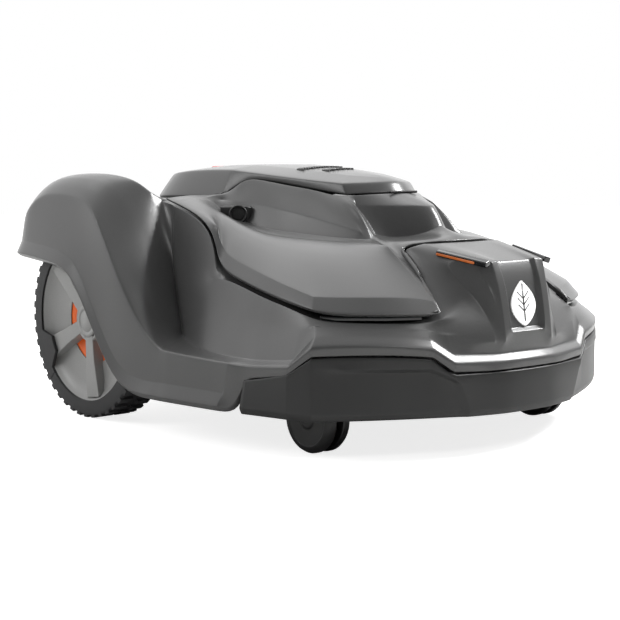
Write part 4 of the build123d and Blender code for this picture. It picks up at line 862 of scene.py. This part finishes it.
# ---- blades, disc and skid plate under the deck ----
# Stainless blades swing on shouldered screws; the disc, with its raised ring and hub, and the dished skid
# plate are black mouldings.

def dress(names, mat):
    """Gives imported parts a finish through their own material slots."""
    for name in names:
        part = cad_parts[name]
        if not part.material_slots:
            part.data.materials.append(mat)
        for slot in part.material_slots:
            slot.material = mat


# Ground stainless steel: bright grey with fine directional grinding marks about 0.5 mm apart.
ground_steel = two_tone("ground_stainless_steel", "9A9B9D", "BFC0C2", 1.0, 2.0, (0.22, 0.40),
                        stretch=(40.0, 1900.0, 400.0), Metallic=1.0)

DISC, DISC_Z, SKID_Z = (0.0, -14.0), 26.0, 14.0


PLATE = [(0, 5.0), (0, 99.0), (0.8, 100), (2.2, 100), (2.5, 99), (2.5, 78), (5.2, 74), (5.2, 60), (2.5, 56),
         (2.5, 18), (4.5, 15), (20, 15), (20, 5.0), (0, 5.0)]
blade_plate = finished(spun(PLATE, (*DISC, DISC_Z), (0, 0, 1), 96), "blade_carrier", "disc", bumper_tpe,
                       ["blade_disc"])
crisp(blade_plate, 0.5)
SAUCER = [(0, 0), (0, 62), (1.2, 76), (3.0, 80), (4.2, 79.4), (3.2, 74), (2.4, 62), (2.5, 15), (8, 14),
          (8, 5.2), (1.6, 5.2), (1.6, 0)]
skid = finished(spun(SAUCER, (*DISC, SKID_Z), (0, 0, 1), 96), "skid_dish", "skid", bumper_tpe, ["skid_plate"])
crisp(skid, 0.5)
dress(["blade_1", "blade_2", "blade_3", "blade_screws", "cutting_shaft", "height_screw", "guide_posts",
       "wheel_shaft_left", "wheel_shaft_right", "chassis_screws", "caster_axle_left",
       "caster_axle_right"], ground_steel)


# Blackened steel: near black, satin, with thin brown-grey clouding where the oil film dried.
black_oxide = two_tone("black_oxide_steel", "121213", "201F1E", 180.0, 3.0, Metallic=0.8, Roughness=0.55)
dress(["hatch_hinge_pin"], black_oxide)


# ---- chassis, deck and drive: the parts that carry everything, mostly hidden under the shell ----
# The tub and its lid are black glass-filled polypropylene, screwed together round a foam rubber seal.

# Glass-filled polypropylene: matt black with pale fibre mottling and a coarse grain.
filled_pp = two_tone("glass_filled_polypropylene", "1B1B1C", "2A2A2B", 35.0, 4.0,
                     relief=(0.3, 0.0004, 700.0, 4.0), Roughness=0.58)

# Cast zinc and bare steel cans: mid grey metal, cloudy from the casting.
cast_zinc = two_tone("die_cast_zinc", "7C7D80", "9A9B9E", 70.0, 4.0, Metallic=0.9, Roughness=0.45)

# Sintered bronze and gold-plated contacts: warm yellow-brown metal with fine pores.
sintered_bronze = two_tone("sintered_bronze", "94703A", "C09A55", 1200.0, 2.0, Metallic=1.0, Roughness=0.35)

# Circuit board laminate under green solder mask, with paler copper tracks about 2 mm apart.
solder_mask, shader = new_material("green_solder_mask")
where = node(solder_mask, "ShaderNodeTexCoord").outputs["Object"]
tracks = node(solder_mask, "ShaderNodeTexBrick", Vector=where, Scale=260.0)
tracks.inputs["Color1"].default_value = hex_linear("1E5B34")
tracks.inputs["Color2"].default_value = hex_linear("236B3C")
tracks.inputs["Mortar"].default_value = hex_linear("3F8A55")
shader.inputs["Roughness"].default_value = 0.3
solder_mask.node_tree.links.new(tracks.outputs["Color"], shader.inputs["Base Color"])

# Battery sleeve: dark blue heat-shrink PVC, softly glossy and a little rippled.
shrink_pvc = two_tone("blue_shrink_pvc", "1D3557", "27456F", 90.0, 2.0, relief=(0.3, 0.001), Roughness=0.3)

dress(["chassis_lower", "chassis_upper", "battery_cover", "float_carriage", "cutting_carriage",
       "caster_arm_left", "caster_arm_right"], filled_pp)
dress(["chassis_seal"], tyre_rubber)
dress(["drive_motor_left", "drive_motor_right", "cutting_motor", "height_motor"], cast_zinc)
dress(["caster_bushes", "charging_contacts"], sintered_bronze)
dress(["main_board"], solder_mask)
dress(["battery_pack"], shrink_pvc)


# ---- console: panel, display, keys and main switch under the hatch ----
# A grey panel clipped into the tower; soft keys with pale tops, a glossy display window, an orange rocker.

# Silicone keys: pale warm grey, matt, with a slight bloom.
key_silicone = two_tone("pale_silicone", "B9B9B5", "C9C9C6", 150.0, 3.0, Roughness=0.6)

dress(["console_panel"], granite_asa)
dress(["display_window"], smoked_pc)
dress(["main_switch"], orange_pp)
KEY_X, KEY_Y, KEY_Z = (-36.0, -12.0, 12.0, 36.0), -36.0, 254.0
for number, x in enumerate(KEY_X, 1):
    form = spun([(-8, 0), (-8, 8.9), (1.6, 8.9), (2.8, 8.2), (3.0, 7.0), (2.3, 5.0), (2.0, 0)],
                (x, KEY_Y, KEY_Z), (0, 0, 1), 40)
    key = finished(form, f"soft_key_{number}", f"key_{number}_body", key_silicone, [f"key_{number}"])
    crisp(key, 0.3)
